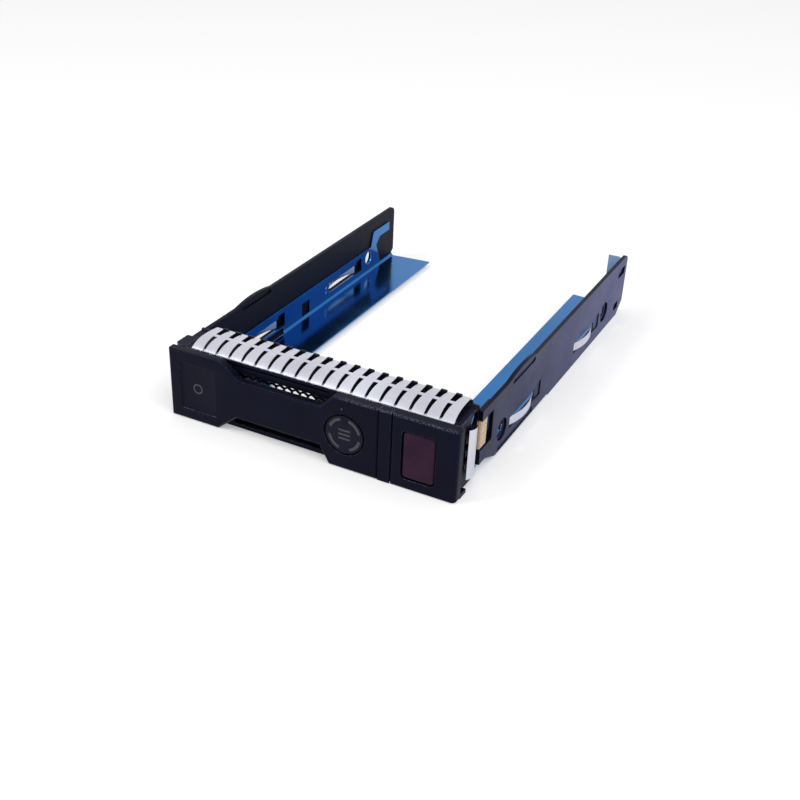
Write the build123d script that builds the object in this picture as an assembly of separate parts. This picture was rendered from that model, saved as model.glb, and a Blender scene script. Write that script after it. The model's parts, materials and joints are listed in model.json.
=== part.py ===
"""Hot swap carrier for one 3.5 inch drive: a moulded front frame with a swinging
lever and a release button, two side rails, and two steel brackets that the drive
is screwed to. Lengths are in millimetres. X runs to the right across the front,
Y runs from the front face to the rear, and Z runs up. The model is built with the
front face at Y = 0, and moved at the end so that the origin is under its middle."""
from build123d import *
import os

# The drive that the carrier holds
drive_width = 101.6
drive_hole_spacing = 101.6
drive_hole_height = 6.35
drive_hole_setback = 16.9
drive_front_gap = 0.3

# Main lengths of the carrier
length = 161.0
bezel_height = 25.5
bezel_overhang = 0.1
frame_rear = 18.0
rail_front = 17.5

# Sheets and walls
bracket_sheet = 0.6
rail_wall = 1.5
frame_wall = 1.5
rib_wall = 1.2
bezel_wall = 1.8
lever_wall = 1.4
spring_sheet = 0.25
leaf_sheet = 0.3
screen_sheet = 0.6
flex_sheet = 0.2
board_thickness = 0.7
pad_thickness = 0.12
film_sheet = 0.3

# Clearances
swing_gap = 0.35
slide_gap = 0.3
seat_gap = 0.15
pin_gap = 0.05
pin_fit = 0.02

button_gap = 0.4

# Lever outline, seen from the front
lever_depth = 3.2
lever_back_gap = 0.6
pad_foot_end = -34.1
pad_top_end = -32.6
band_left_low = -26.5
band_left_high = -25.5
band_low = 6.1
band_drop = 5.2
band_right = 5.1
head_left_low = 8.7
head_left_high = 10.2
lever_end = 30.6
lever_end_slant = 1.1
cap_seam = 26.1
lever_edge = 0.6
pocket_left = -46.8
arm_sheet = 1.0
post_size = 2.6
post_places = ((-43.0, 5.0), (-43.0, 20.0), (-20.0, 13.0), (-2.0, 13.0), (23.5, 4.0), (23.5, 21.0))

# Recessed square on the lever's pad
pad_square_left = -48.4
pad_square_right = -34.6
pad_square_low = 4.1
pad_square_drop = 4.1
pad_square_depth = 0.3

# Lever pivot
pivot_x = -50.5
pivot_y = 6.9
pivot_radius = 1.0
barrel_radius = 2.3
ear_radius = 3.0
barrel_web = 1.0
ear_low_top = 3.9
ear_high_sheet = 4.2
ear_drop = 0.1
ear_right = -48.3
pivot_housing_right = -45.4
pivot_housing_rear = 11.2
pivot_pin_cover = 1.1

# Ring indicator in the lever
ring_x = 14.3
ring_z = 12.7
ring_disc_radius = 7.0
ring_groove = 0.25
ring_arc_radius = 5.4
ring_arc_width = 1.0
ring_arcs = ((105, 55), (190, 60), (290, 60), (15, 60))
ring_disc_sink = 0.1
ring_lens_sink = 0.2
lens_flange = 0.8
lens_plate = 0.9
icon_bar_length = 4.2
icon_bar_height = 0.7
icon_bar_pitch = 1.5
icon_bar_count = 3

# Latch tongue on the lever's arm, and the catch that stands beside it
tongue_x = 26.4
tongue_sheet = 1.2
tongue_reach = 6.8
tongue_low = 9.0
tongue_high = 16.2
nose_gap = 0.35
nose_front = 6.4
nose_rear = 8.6
nose_low = 10.3
nose_high = 14.3
catch_plate_low = 8.0
catch_plate_rear = 12.0
catch_right = 45.0
catch_post = 1.6
ramp_front = 6.2
ramp_rear = 9.2

# Release button
button_left = 34.65
button_width = 10.8
button_low = 4.0
button_drop = 5.1
button_corner = 1.2
button_sink = 0.2
button_flange = 0.7
button_flange_sheet = 1.2
button_edge = 0.4
wedge_left = 37.4
wedge_right = 42.6
wedge_tip = 8.7
wedge_nose = 1.0
catch_spring_radius = 1.6
catch_spring_wire = 0.4
catch_spring_turns = 4

# Front frame
frame_floor = 0.3
frame_drop = 0.3
rear_lip_height = 1.4
rear_lip = 1.0
screen_left = -30.0
screen_right = 7.0
screen_setback = 2.2
cell_pitch = 3.0
cell_size = 2.35
block_edge = 0.8
block_side_round = 1.6
side_foot_rear = 8.1
side_foot_height = 1.4
side_hole_radius = 2.8
side_hole_y = 14.8
side_hole_drop = 3.3
side_plate_drop = 0.4
catch_ledge = 1.5
catch_ledge_front = 7.0

# Light guide, lamp board and flexible circuit
light_pipe_radius = 5.9
light_pipe_wall = 1.8
lamp_board_width = 11.8
lamp_board_height = 8.0
flex_left = -6.0
flex_low = 10.0
flex_high = 18.0
flex_rear = 25.0
flex_setback = 1.2

# Contact board in the side window
window_low = 9.7
window_high = 20.4
window_rear = 26.3
board_front = 18.1
board_rear = 22.9
board_margin = 0.2
pad_count = 6
pad_fill = 0.7
pad_margin = 0.5

# Spring finger strip along the top
finger_count = 19
finger_pitch = 5.165
finger_front_gap = 1.0
finger_rear_gap = 2.0
strip_left = -47.9
seat_setback = 0.2
seat_length = 1.7
finger_foot = 0.5
finger_crest_y = 11.5
finger_crest_rise = 2.6
finger_end_overhang = 0.1
finger_end_rise = 1.9
bridge_start = 0.46
bridge_end = 0.62
bridge_drop = 0.05
bridge_sheet = 0.15

# Contact spring on the right side
side_spring_front = 8.4
side_spring_rear = 16.4
side_spring_rise = 1.7
side_spring_low = 4.2
side_spring_high = 21.9
side_spring_slant = 2.0
tooth_front = 7.2
tooth_rear = 9.6
tooth_height = 1.8
tooth_rise = 0.9
tooth_centres = (9.2, 13.9, 18.6)

# Side rails
rail_drop = 1.5
rail_step = 0.8
rail_step_y = 78.0
rail_front_foot = 4.6
rail_front_shoulder = 22.0
rail_front_slope = 31.0
rail_rear_low = 4.4
rail_rear_slope = 6.0
rail_rear_round = 2.5
bump_front = 39.0
bump_rear = 62.0
bump_rise = 1.2
slit_front = 42.0
slit_rear = 61.0
slit_drop = 0.6
slit_height = 1.6
access_hole_radius = 3.9
access_hole_bore = 3.0
pocket_floor = 0.5
groove_front = 32.6
groove_rear = 63.0
groove_low = 1.4
groove_high = 3.3
groove_depth = 0.5
hook_slot_setback = 10.0
hook_slot_length = 7.5
hook_slot_low = 17.0
hook_slot_high = 20.2
foot_slot_setback = 11.0
foot_slot_length = 5.0
foot_slot_low = 3.4
foot_slot_high = 6.2

# Leaf springs and the slots that they bow through
leaf_fronts = (41.8, 103.0)
leaf_length = 22.4
leaf_width = 3.2
leaf_z = 7.4
leaf_rise = 2.5
leaf_foot = 4.6
leaf_slot_length = 27.5
leaf_slot_margin = 0.45
leaf_notch_length = 4.6
leaf_notch_low = 5.0
leaf_notch_high = 10.8
rivet_radius = 0.55
rivet_spread = 2.0
rivet_sides = 12

# Drive brackets
shelf_top = 2.2
shelf_reach = 17.8
bracket_wall_top = 12.7
bracket_bend = 1.1
wall_setback_high = 18.0
wall_setback_low = 13.5
shelf_setback_outer = 2.4
shelf_setback_inner = 0.8
bracket_hole_radius = 2.8
sight_window = (82.0, 87.7, 3.3, 8.7)
fold_window = (36.0, 68.0, 1.9, 4.4)
hook_setback = 22.4
hook_lean = 2.0
hook_corner = 1.0
hook_leg_setback = 14.2
hook_arm_low = 15.2
hook_top = 18.9
hook_end_setback = 5.6

# Film tab at the rear of the right rail
film_setback = 3.7
film_leg = 1.7
film_reach = 5.2
film_low = 12.8
film_high = 23.8
film_bend = 1.0

# Places worked out from the sizes above
bracket_inner = drive_width / 2
rail_inner = bracket_inner + bracket_sheet
rail_outer = rail_inner + rail_wall
bezel_half = rail_outer + bezel_overhang
band_high = bezel_height - band_drop
pad_square_high = bezel_height - pad_square_drop
button_height = bezel_height - button_drop - button_low
ear_top = bezel_height - ear_drop
ear_high_foot = ear_top - ear_high_sheet
pivot_pin_top = ear_top - pivot_pin_cover
rail_top = bezel_height - rail_drop
slit_high = rail_top - slit_drop
slit_low = slit_high - slit_height
frame_front = lever_depth + lever_back_gap
frame_top = bezel_height - frame_drop
frame_ceiling = frame_top - frame_wall
frame_deck = frame_floor + frame_wall
side_hole_z = frame_top - side_hole_drop
seat_front = frame_front + seat_setback
block_left = lever_end + swing_gap
drive_front = frame_rear + drive_front_gap
hole_y = drive_front + drive_hole_setback
hole_z = shelf_top + drive_hole_height
screen_y = frame_front + screen_setback
flex_y = frame_rear - flex_setback - flex_sheet
flange_front = bezel_wall + slide_gap
flange_rear = flange_front + button_flange_sheet
tongue_right = tongue_x + tongue_sheet
wedge_line = wedge_left + wedge_nose + wedge_tip
ramp_line = wedge_line + slide_gap * 2 ** 0.5
catch_left = block_left + frame_wall + slide_gap
catch_plate_top = nose_low - slide_gap * 2
strip_right = strip_left + finger_count * finger_pitch
hook_slot_front = length - hook_slot_setback
foot_slot_front = length - foot_slot_setback
wall_rear_high = length - wall_setback_high
wall_rear_low = length - wall_setback_low
shelf_rear_outer = length - shelf_setback_outer
shelf_rear_inner = length - shelf_setback_inner
hook_front = length - hook_setback
hook_leg_rear = length - hook_leg_setback
hook_rear = length - hook_end_setback
film_rear = length - film_setback
film_front = film_rear - film_leg


def block(x0, x1, y0, y1, z0, z1):
    """A box between two corners."""
    return Pos((x0 + x1) / 2, (y0 + y1) / 2, (z0 + z1) / 2) * Box(x1 - x0, y1 - y0, z1 - z0)


def polygon(*points):
    """A flat face through the points in turn."""
    return make_face(Polyline(*points, close=True))


def upright(face, y0, y1):
    """A face drawn in X and Z, carried from y0 to y1."""
    return extrude(Plane.XZ.offset(-y0) * face, -(y1 - y0))


def sideways(face, x0, x1):
    """A face drawn in Y and Z, carried from x0 to x1."""
    return extrude(Plane.YZ.offset(x0) * face, x1 - x0)


def flat(face, z0, z1):
    """A face drawn in X and Y, carried from z0 to z1."""
    return extrude(Plane.XY.offset(z0) * face, z1 - z0)


def rod_x(y, z, radius, x0, x1):
    """A round rod along X."""
    return sideways(Pos(y, z) * Circle(radius), x0, x1)


def rod_y(x, z, radius, y0, y1):
    """A round rod along Y."""
    return upright(Pos(x, z) * Circle(radius), y0, y1)


def rod_z(x, y, radius, z0, z1):
    """A round rod along Z."""
    return flat(Pos(x, y) * Circle(radius), z0, z1)


def arched(start, crest, end, shift):
    """A thin face between an arc through three points and the same arc shifted."""
    moved = [(u + shift[0], v + shift[1]) for u, v in (start, crest, end)]
    outer = ThreePointArc(start, crest, end)
    inner = ThreePointArc(*moved)
    return make_face([outer, inner, Line(start, moved[0]), Line(end, moved[2])])


def front_edges(part):
    """The edges of a part that lie in its front face."""
    return part.edges().filter_by_position(Axis.Y, -0.001, 0.001)


def lever_outline():
    """The whole lever seen from the front, pad, band and head."""
    return polygon(
        (-bezel_half, 0), (pad_foot_end, 0), (band_left_low, band_low),
        (band_right, band_low), (head_left_low, 0), (lever_end, 0),
        (lever_end, bezel_height), (head_left_high, bezel_height),
        (band_right, band_high), (band_left_high, band_high),
        (pad_top_end, bezel_height), (-bezel_half, bezel_height))


def lever_slice(inset, left, right):
    """The lever's outline taken in by a margin, between two places along X."""
    face = offset(lever_outline(), -inset) if inset else lever_outline()
    window = Pos((left + right) / 2, bezel_height / 2) * Rectangle(right - left, bezel_height * 2)
    return face & window


def lever_posts():
    """Square posts inside the cover that the steel arm rests on."""
    return [upright(Pos(x, z) * Rectangle(post_size, post_size), lever_wall, lever_depth - arm_sheet)
            for x, z in post_places]


def lever_cover():
    """Moulded front of the lever, hollow behind, with the pivot barrel."""
    cover = upright(lever_slice(0, -bezel_half, cap_seam), 0, lever_depth)
    cover = chamfer(front_edges(cover), lever_edge)
    cover -= upright(lever_slice(lever_wall, pocket_left, cap_seam), lever_wall, lever_depth)
    square = polygon(
        (pad_square_left, pad_square_low), (pad_square_right, pad_square_low),
        (pad_square_right, pad_square_high), (pad_square_left, pad_square_high))
    cover -= upright(square, 0, pad_square_depth)
    cover -= rod_y(ring_x, ring_z, ring_disc_radius + ring_groove, 0, lever_wall)
    for post in lever_posts():
        cover += post
    barrel_low = ear_low_top + slide_gap
    barrel_high = ear_high_foot - slide_gap
    cover += rod_z(pivot_x, pivot_y, barrel_radius, barrel_low, barrel_high)
    web_half = barrel_radius - swing_gap
    cover += block(pivot_x - web_half, pivot_x + web_half,
                   lever_depth - barrel_web, pivot_y, barrel_low, barrel_high)
    return cover - rod_z(pivot_x, pivot_y, pivot_radius + pin_gap, barrel_low, barrel_high)


def lever_end_cap():
    """Separate end of the lever beside the release button."""
    face = polygon((cap_seam + seat_gap, 0), (lever_end, 0),
                   (lever_end - lever_end_slant, lever_depth), (cap_seam + seat_gap, lever_depth))
    cap = flat(face, 0, bezel_height)
    cap = chamfer(front_edges(cap), lever_edge / 2)
    pocket_right = lever_end - lever_end_slant - lever_wall / 2
    return cap - block(cap_seam, pocket_right, lever_depth - arm_sheet, lever_depth,
                       lever_wall, bezel_height - lever_wall)


def lever_arm():
    """Steel plate behind the cover, with the latch tongue bent back at its end."""
    front = lever_depth - arm_sheet
    right = lever_end - lever_end_slant - lever_wall / 2 - seat_gap
    arm = upright(lever_slice(lever_wall + seat_gap, pocket_left + seat_gap, right),
                  front, lever_depth)
    arm -= rod_y(ring_x, ring_z, ring_disc_radius + lens_flange, front, lever_depth)
    arm += block(tongue_x, tongue_right, front, lever_depth + tongue_reach, tongue_low, tongue_high)
    return arm - block(tongue_x, tongue_right, nose_front - slide_gap, nose_rear + slide_gap,
                       nose_low - slide_gap, nose_high + slide_gap)


def ring_arc(radius, width, start, sweep):
    """A round-ended stroke along part of a circle about the ring's centre."""
    arc = CenterArc((ring_x, ring_z), radius, start, sweep)
    return trace(arc, width)


def icon_bar(index, growth):
    """One bar of the plain mark in the middle of the ring."""
    rise = (index - (icon_bar_count - 1) / 2) * icon_bar_pitch
    return Pos(ring_x, ring_z + rise) * Rectangle(icon_bar_length + growth, icon_bar_height + growth)


def ring_disc():
    """Dark round insert of the ring indicator, with windows for the lit arcs."""
    disc = rod_y(ring_x, ring_z, ring_disc_radius, ring_disc_sink, lever_wall)
    for start, sweep in ring_arcs:
        disc -= upright(ring_arc(ring_arc_radius, ring_arc_width + seat_gap, start, sweep),
                        ring_disc_sink, lever_wall)
    for index in range(icon_bar_count):
        disc -= upright(icon_bar(index, seat_gap), ring_disc_sink, lever_wall)
    return disc


def ring_lens():
    """Clear piece behind the insert: a flange, four arcs and three bars."""
    flange_radius = ring_disc_radius + lens_flange - seat_gap
    lens = rod_y(ring_x, ring_z, flange_radius, lever_wall, lever_wall + lens_plate)
    for start, sweep in ring_arcs:
        lens += upright(ring_arc(ring_arc_radius, ring_arc_width, start, sweep),
                        ring_lens_sink, lever_wall)
    for index in range(icon_bar_count):
        lens += upright(icon_bar(index, 0), ring_lens_sink, lever_wall)
    return lens


def frame_shell():
    """Tube of the front frame, open at the rear, with its dividing ribs."""
    shell = block(-rail_inner, rail_inner, frame_front, frame_rear, frame_floor, frame_top)
    rooms = [
        (-rail_inner + frame_wall, screen_left - rib_wall, frame_front + frame_wall),
        (screen_left, screen_right, 0),
        (screen_right + rib_wall, block_left, frame_front + frame_wall),
        (block_left + frame_wall, rail_inner - frame_wall, 0)]
    for left, right, front in rooms:
        shell -= block(left, right, front, frame_rear, frame_deck, frame_ceiling)
    lip = block(-rail_inner, rail_inner, frame_rear - rear_lip, frame_rear,
                frame_top, frame_top + rear_lip_height)
    return shell + lip


def button_block():
    """Fixed block of the bezel that holds the release button."""
    block_face = polygon((block_left, 0), (bezel_half, 0), (bezel_half, frame_front),
                         (block_left - lever_end_slant * frame_front / lever_depth, frame_front))
    corner = block_face.vertices().sort_by_distance((bezel_half, 0))[0]
    solid = flat(fillet(corner, block_side_round), 0, bezel_height)
    front = front_edges(solid).sort_by(Axis.X)[:-1]
    solid = fillet(front, block_edge)
    solid -= block(block_left + frame_wall, rail_inner - frame_wall, bezel_wall, frame_front,
                   frame_deck, frame_ceiling)
    well = Pos(button_left + button_width / 2, button_low + button_height / 2) * RectangleRounded(
        button_width + button_gap * 2, button_height + button_gap * 2, button_corner + button_gap)
    solid -= upright(well, 0, bezel_wall)
    return solid + block(rail_inner - frame_wall, bezel_half, frame_front, side_foot_rear,
                         0, side_foot_height)


def pivot_housing():
    """Ears at the left end that hold the pivot pin."""
    base = block(-rail_inner, pivot_housing_right, frame_front, pivot_housing_rear,
                 frame_floor, frame_top)
    ear = Pos(pivot_x, pivot_y) * Circle(ear_radius)
    ear += Pos((pivot_x + ear_right) / 2, (frame_front + pivot_housing_rear) / 2) * Rectangle(
        ear_right - pivot_x, pivot_housing_rear - frame_front)
    ear += Pos((-bezel_half + pivot_x) / 2, (pivot_y + pivot_housing_rear) / 2) * Rectangle(
        pivot_x + bezel_half, pivot_housing_rear - pivot_y)
    ear &= Pos((-bezel_half + ear_right) / 2, pivot_y) * Rectangle(ear_right + bezel_half, length)
    corner = Pos(-rail_inner, frame_front) * Rectangle(
        (rail_inner + pivot_x) * 2, (pivot_y - frame_front) * 2)
    housing = base - flat(corner, frame_floor, frame_top)
    return housing + flat(ear, frame_floor, ear_top)


def pivot_recess():
    """Room for the lever's barrel between the ears."""
    turn = barrel_radius + swing_gap
    return block(-bezel_half - turn, pivot_x + turn + lever_depth / 2, 0,
                 pivot_y + turn, ear_low_top, ear_high_foot)


def bezel_frame():
    """Moulded front frame with the fixed button block and the pivot ears."""
    frame = frame_shell() + button_block()
    corner = block(-rail_inner - 1, pivot_x, 0, pivot_y, 0, bezel_height)
    frame = frame - corner + pivot_housing() - pivot_recess()
    frame -= rod_z(pivot_x, pivot_y, pivot_radius + pin_fit, frame_floor, pivot_pin_top)
    slot_margin = slide_gap * 2
    frame -= block(tongue_x - slot_margin * 2, block_left, 0, frame_front + frame_wall,
                   tongue_low - slot_margin, tongue_high + slot_margin)
    frame -= block(tongue_x, block_left + frame_wall, nose_front - slide_gap, nose_rear + slide_gap,
                   nose_low - slide_gap, nose_high + slide_gap)
    frame -= rod_y(ring_x, ring_z, light_pipe_radius + seat_gap, frame_front, frame_front + frame_wall)
    frame += block(block_left + frame_wall, rail_inner - frame_wall, catch_ledge_front,
                   catch_plate_rear, catch_plate_low - seat_gap - catch_ledge,
                   catch_plate_low - seat_gap)
    frame += block(flex_left, block_left, flex_y + flex_sheet, frame_rear,
                   flex_low - rib_wall, flex_high + rib_wall)
    frame -= block(screen_right, rail_inner, flex_y - seat_gap, flex_y + flex_sheet,
                   flex_low - seat_gap, flex_high + seat_gap)
    frame += block(bracket_inner, rail_inner, frame_rear - frame_wall / 2, window_rear,
                   bracket_wall_top + slide_gap, rail_top - side_plate_drop)
    frame -= rod_x(side_hole_y, side_hole_z, side_hole_radius, rail_inner - frame_wall, rail_inner)
    return frame + side_teeth()


def side_teeth():
    """Moulded teeth that stand in the notches of the side contact spring."""
    return [block(rail_inner, rail_inner + tooth_rise, tooth_front, tooth_rear,
                  z - tooth_height / 2, z + tooth_height / 2) for z in tooth_centres]


def pivot_pin():
    """Steel pin that the lever turns on, put in from below."""
    return rod_z(pivot_x, pivot_y, pivot_radius, frame_floor, pivot_pin_top)


def vent_screen():
    """Steel sheet with rows of six-sided holes, set behind the lever."""
    width = screen_right - screen_left
    tall = frame_ceiling - frame_deck
    rise = cell_pitch * 3 ** 0.5 / 2
    columns = int((width - cell_size) / cell_pitch)
    rows = int((tall - cell_size) / rise)
    cells = []
    for row in range(rows):
        count = columns - row % 2
        for column in range(count):
            x = (column - (count - 1) / 2) * cell_pitch
            z = (row - (rows - 1) / 2) * rise
            cells.append(Pos(x, z) * RegularPolygon(cell_size / 3 ** 0.5, 6, rotation=30))
    face = Rectangle(width, tall) - cells
    centre = Pos((screen_left + screen_right) / 2, (frame_deck + frame_ceiling) / 2)
    return upright(centre * face, screen_y, screen_y + screen_sheet)


def light_pipe():
    """Clear tube that carries light from the lamp board to the ring."""
    front = frame_front
    rear = flex_y - board_thickness
    tube = rod_y(ring_x, ring_z, light_pipe_radius, front, rear)
    return tube - rod_y(ring_x, ring_z, light_pipe_radius - light_pipe_wall, front, rear)


def lamp_board():
    """Small board with the lamps, on the flexible circuit behind the ring."""
    return block(ring_x - lamp_board_width / 2, ring_x + lamp_board_width / 2,
                 flex_y - board_thickness, flex_y, flex_low, flex_low + lamp_board_height)


def flex_circuit():
    """Flexible circuit from the lamp board round to the side contacts."""
    across = block(flex_left, rail_inner, flex_y, flex_y + flex_sheet, flex_low, flex_high)
    along = block(rail_inner, rail_inner + flex_sheet, flex_y, flex_rear,
                  window_low + board_margin, window_high - board_margin)
    return across + along


def contact_board():
    """Board in the side window that meets the contacts of the bay."""
    x = rail_inner + flex_sheet
    return block(x, x + board_thickness, board_front, board_rear,
                 window_low + board_margin, window_high - board_margin)


def contact_pads():
    """Gold pads on the contact board."""
    x = rail_inner + flex_sheet + board_thickness
    low = window_low + board_margin + pad_margin
    high = window_high - board_margin - pad_margin
    step = (high - low) / pad_count
    pads = []
    for index in range(pad_count):
        foot = low + index * step
        pads.append(block(x, x + pad_thickness, board_front + pad_margin, board_rear - pad_margin,
                          foot, foot + step * pad_fill))
    return Compound(pads)


def finger_arc():
    """Outer arc of a finger in side view, from the seat's front edge to the free end."""
    return ThreePointArc((seat_front, frame_top + finger_foot),
                         (finger_crest_y, frame_top + finger_crest_rise),
                         (frame_rear + finger_end_overhang, frame_top + finger_end_rise))


def finger():
    """One arched finger about X = 0, narrower at its free end, with its riser."""
    rear = frame_rear + finger_end_overhang
    inner = seat_front + spring_sheet
    foot = frame_top + finger_foot - spring_sheet / 2
    side = make_face([
        finger_arc(),
        Line((rear, frame_top + finger_end_rise), (rear, frame_top + finger_end_rise - spring_sheet)),
        ThreePointArc((rear, frame_top + finger_end_rise - spring_sheet),
                      (finger_crest_y, frame_top + finger_crest_rise - spring_sheet), (inner, foot)),
        Polyline((inner, foot), (inner, frame_top), (seat_front, frame_top),
                 (seat_front, frame_top + finger_foot))])
    front_half = (finger_pitch - finger_front_gap) / 2
    rear_half = (finger_pitch - finger_rear_gap) / 2
    plan = polygon((-front_half, seat_front), (front_half, seat_front), (rear_half, rear),
                   (-rear_half, rear))
    return sideways(side, -front_half, front_half) & flat(plan, frame_top, frame_top + length)


def bridge():
    """Flat bar that joins two fingers, just under their outer arc."""
    front = finger_arc() @ bridge_start
    rear = finger_arc() @ bridge_end
    under = bridge_drop + bridge_sheet
    side = polygon((front.X, front.Y - bridge_drop), (rear.X, rear.Y - bridge_drop),
                   (rear.X, rear.Y - under), (front.X, front.Y - under))
    return sideways(side, -finger_rear_gap / 2, finger_rear_gap / 2)


def finger_strip():
    """Spring strip on the frame's top: a seat flange, arched fingers and their bridges."""
    inset = finger_front_gap / 2
    strip = block(strip_left + inset, strip_right - inset, seat_front, seat_front + seat_length,
                  frame_top, frame_top + spring_sheet)
    centres = [strip_left + (index + 0.5) * finger_pitch for index in range(finger_count)]
    strip += [Pos(x, 0, 0) * finger() for x in centres]
    strip += [Pos(x + finger_pitch / 2, 0, 0) * bridge() for x in centres[:-1]]
    return strip


def side_spring():
    """Bowed contact spring on the right side of the frame, notched for the teeth."""
    middle = (side_spring_front + side_spring_rear) / 2
    bow = arched((rail_inner, side_spring_front), (rail_inner + side_spring_rise, middle),
                 (rail_inner, side_spring_rear), (spring_sheet, 0))
    low_rear = side_spring_low - side_spring_slant
    face = polygon((side_spring_front, side_spring_low), (side_spring_rear, low_rear),
                   (side_spring_rear, side_spring_high - side_spring_slant),
                   (side_spring_front, side_spring_high))
    spring = flat(bow, low_rear, side_spring_high) & sideways(face, rail_inner, rail_inner + length)
    for z in tooth_centres:
        spring -= block(rail_inner, bezel_half, side_spring_front, tooth_rear + seat_gap,
                        z - tooth_height / 2 - seat_gap, z + tooth_height / 2 + seat_gap)
    return spring


def rail_outline():
    """Side view of a rail, with the raised spring arm on its top edge."""
    rear_low = length - rail_rear_slope
    bump = ThreePointArc((bump_rear, rail_top), ((bump_front + bump_rear) / 2, rail_top + bump_rise),
                         (bump_front, rail_top))
    sides = [
        Polyline((rail_front, rail_top), (rail_front, rail_front_foot),
                 (rail_front_shoulder, rail_front_foot), (rail_front_slope, rail_step),
                 (rail_step_y, rail_step), (rail_step_y + rail_step, 0), (rear_low, 0),
                 (length, rail_rear_low), (length, rail_top - rail_rear_round)),
        ThreePointArc((length, rail_top - rail_rear_round),
                      (length - rail_rear_round * (1 - 0.5 ** 0.5),
                       rail_top - rail_rear_round * (1 - 0.5 ** 0.5)),
                      (length - rail_rear_round, rail_top)),
        Line((length - rail_rear_round, rail_top), (bump_rear, rail_top)),
        bump,
        Line((bump_front, rail_top), (rail_front, rail_top))]
    return make_face(sides)


def window_face(front, rear, low, high):
    """A rectangle in the side view."""
    return Pos((front + rear) / 2, (low + high) / 2) * Rectangle(rear - front, high - low)


def leaf_slot(front):
    """Side view of the slot that a leaf spring bows through."""
    return window_face(front, front + leaf_slot_length, leaf_z - leaf_width / 2 - leaf_slot_margin,
                       leaf_z + leaf_width / 2 + leaf_slot_margin)


def leaf_notch(front):
    """Side view of the wider end of a leaf slot."""
    rear = front + leaf_slot_length
    return window_face(rear - leaf_notch_length, rear, leaf_notch_low, leaf_notch_high)


def rivet_rod(y, z, radius, x0, x1):
    """A many-sided rod along X, for a rivet or its hole."""
    return sideways(Pos(y, z) * RegularPolygon(radius, rivet_sides), x0, x1)


def rivet_places(front):
    """Centres of the two rivets in a leaf spring's foot."""
    y = front - leaf_foot / 2
    return [(y, leaf_z - rivet_spread / 2), (y, leaf_z + rivet_spread / 2)]


def right_rail():
    """Moulded side rail with its windows, slots and access holes."""
    rail = sideways(rail_outline(), rail_inner, rail_outer)
    openings = [
        window_face(0, window_rear, window_low, window_high),
        window_face(slit_front, slit_rear, slit_low, slit_high)]
    openings += [leaf_slot(front) for front in leaf_fronts]
    for face in openings:
        rail -= sideways(face, rail_inner, rail_outer)
    pockets = [
        window_face(hook_slot_front, hook_slot_front + hook_slot_length,
                    hook_slot_low, hook_slot_high),
        window_face(foot_slot_front, foot_slot_front + foot_slot_length,
                    foot_slot_low, foot_slot_high)]
    pockets += [leaf_notch(front) for front in leaf_fronts]
    for face in pockets:
        rail -= sideways(face, rail_inner + pocket_floor, rail_outer)
    for y in (hole_y, hole_y + drive_hole_spacing):
        rail -= rod_x(y, hole_z, access_hole_bore, rail_inner, rail_outer)
        rail -= rod_x(y, hole_z, access_hole_radius, rail_inner + pocket_floor, rail_outer)
    for front in leaf_fronts:
        foot = window_face(front - leaf_foot, front, leaf_z - leaf_width / 2 - leaf_slot_margin,
                           leaf_z + leaf_width / 2 + leaf_slot_margin)
        rail -= sideways(foot, rail_inner, rail_inner + leaf_sheet)
    groove = window_face(groove_front, groove_rear, groove_low, groove_high)
    return rail - sideways(groove, rail_outer - groove_depth, rail_outer)


def bracket_section():
    """End view of the right bracket: a wall and an inward shelf with a round bend."""
    inner = bracket_inner
    shelf_foot = shelf_top - bracket_sheet
    outer_bend = bracket_bend + bracket_sheet
    points = Polyline(
        (inner, bracket_wall_top), (rail_inner, bracket_wall_top),
        (rail_inner, shelf_foot), (inner - shelf_reach, shelf_foot),
        (inner - shelf_reach, shelf_top), (inner, shelf_top), close=True)
    face = make_face(points)
    inside = face.vertices().sort_by_distance((inner, shelf_top))[0]
    face = fillet(inside, bracket_bend)
    outside = face.vertices().sort_by_distance((rail_inner, shelf_foot))[0]
    return fillet(outside, outer_bend)


def right_bracket():
    """Folded steel bracket that the drive rests on and is screwed to."""
    bracket = upright(bracket_section(), drive_front, shelf_rear_inner)
    wall_end = polygon(
        (wall_rear_high, bracket_wall_top + 1), (wall_rear_low, shelf_top + bracket_bend),
        (length, shelf_top + bracket_bend), (length, bracket_wall_top + 1))
    bracket -= sideways(wall_end, bracket_inner, rail_inner)
    shelf_end = polygon((bracket_inner - shelf_reach, shelf_rear_inner), (rail_inner, shelf_rear_outer),
                        (rail_inner, length), (bracket_inner - shelf_reach, length))
    bracket -= flat(shelf_end, 0, bracket_wall_top)
    hook_foot = bracket_wall_top - hook_corner
    hook_bend = hook_front + hook_lean
    hook = polygon((hook_front, hook_foot), (hook_bend, hook_top - hook_corner),
                   (hook_bend + hook_corner, hook_top), (hook_rear, hook_top), (hook_rear, hook_arm_low),
                   (hook_leg_rear, hook_arm_low), (wall_rear_high, hook_foot))
    bracket += sideways(hook, bracket_inner, rail_inner)
    openings = [window_face(*sight_window), window_face(*fold_window)]
    openings += [leaf_slot(front) + leaf_notch(front) for front in leaf_fronts]
    for face in openings:
        bracket -= sideways(face, bracket_inner - bracket_bend / 2, rail_inner)
    for y in (hole_y, hole_y + drive_hole_spacing):
        bracket -= rod_x(y, hole_z, bracket_hole_radius, bracket_inner, rail_inner)
    for front in leaf_fronts:
        for y, z in rivet_places(front):
            bracket -= rivet_rod(y, z, rivet_radius + pin_fit, bracket_inner, rail_inner)
    return bracket


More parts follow.
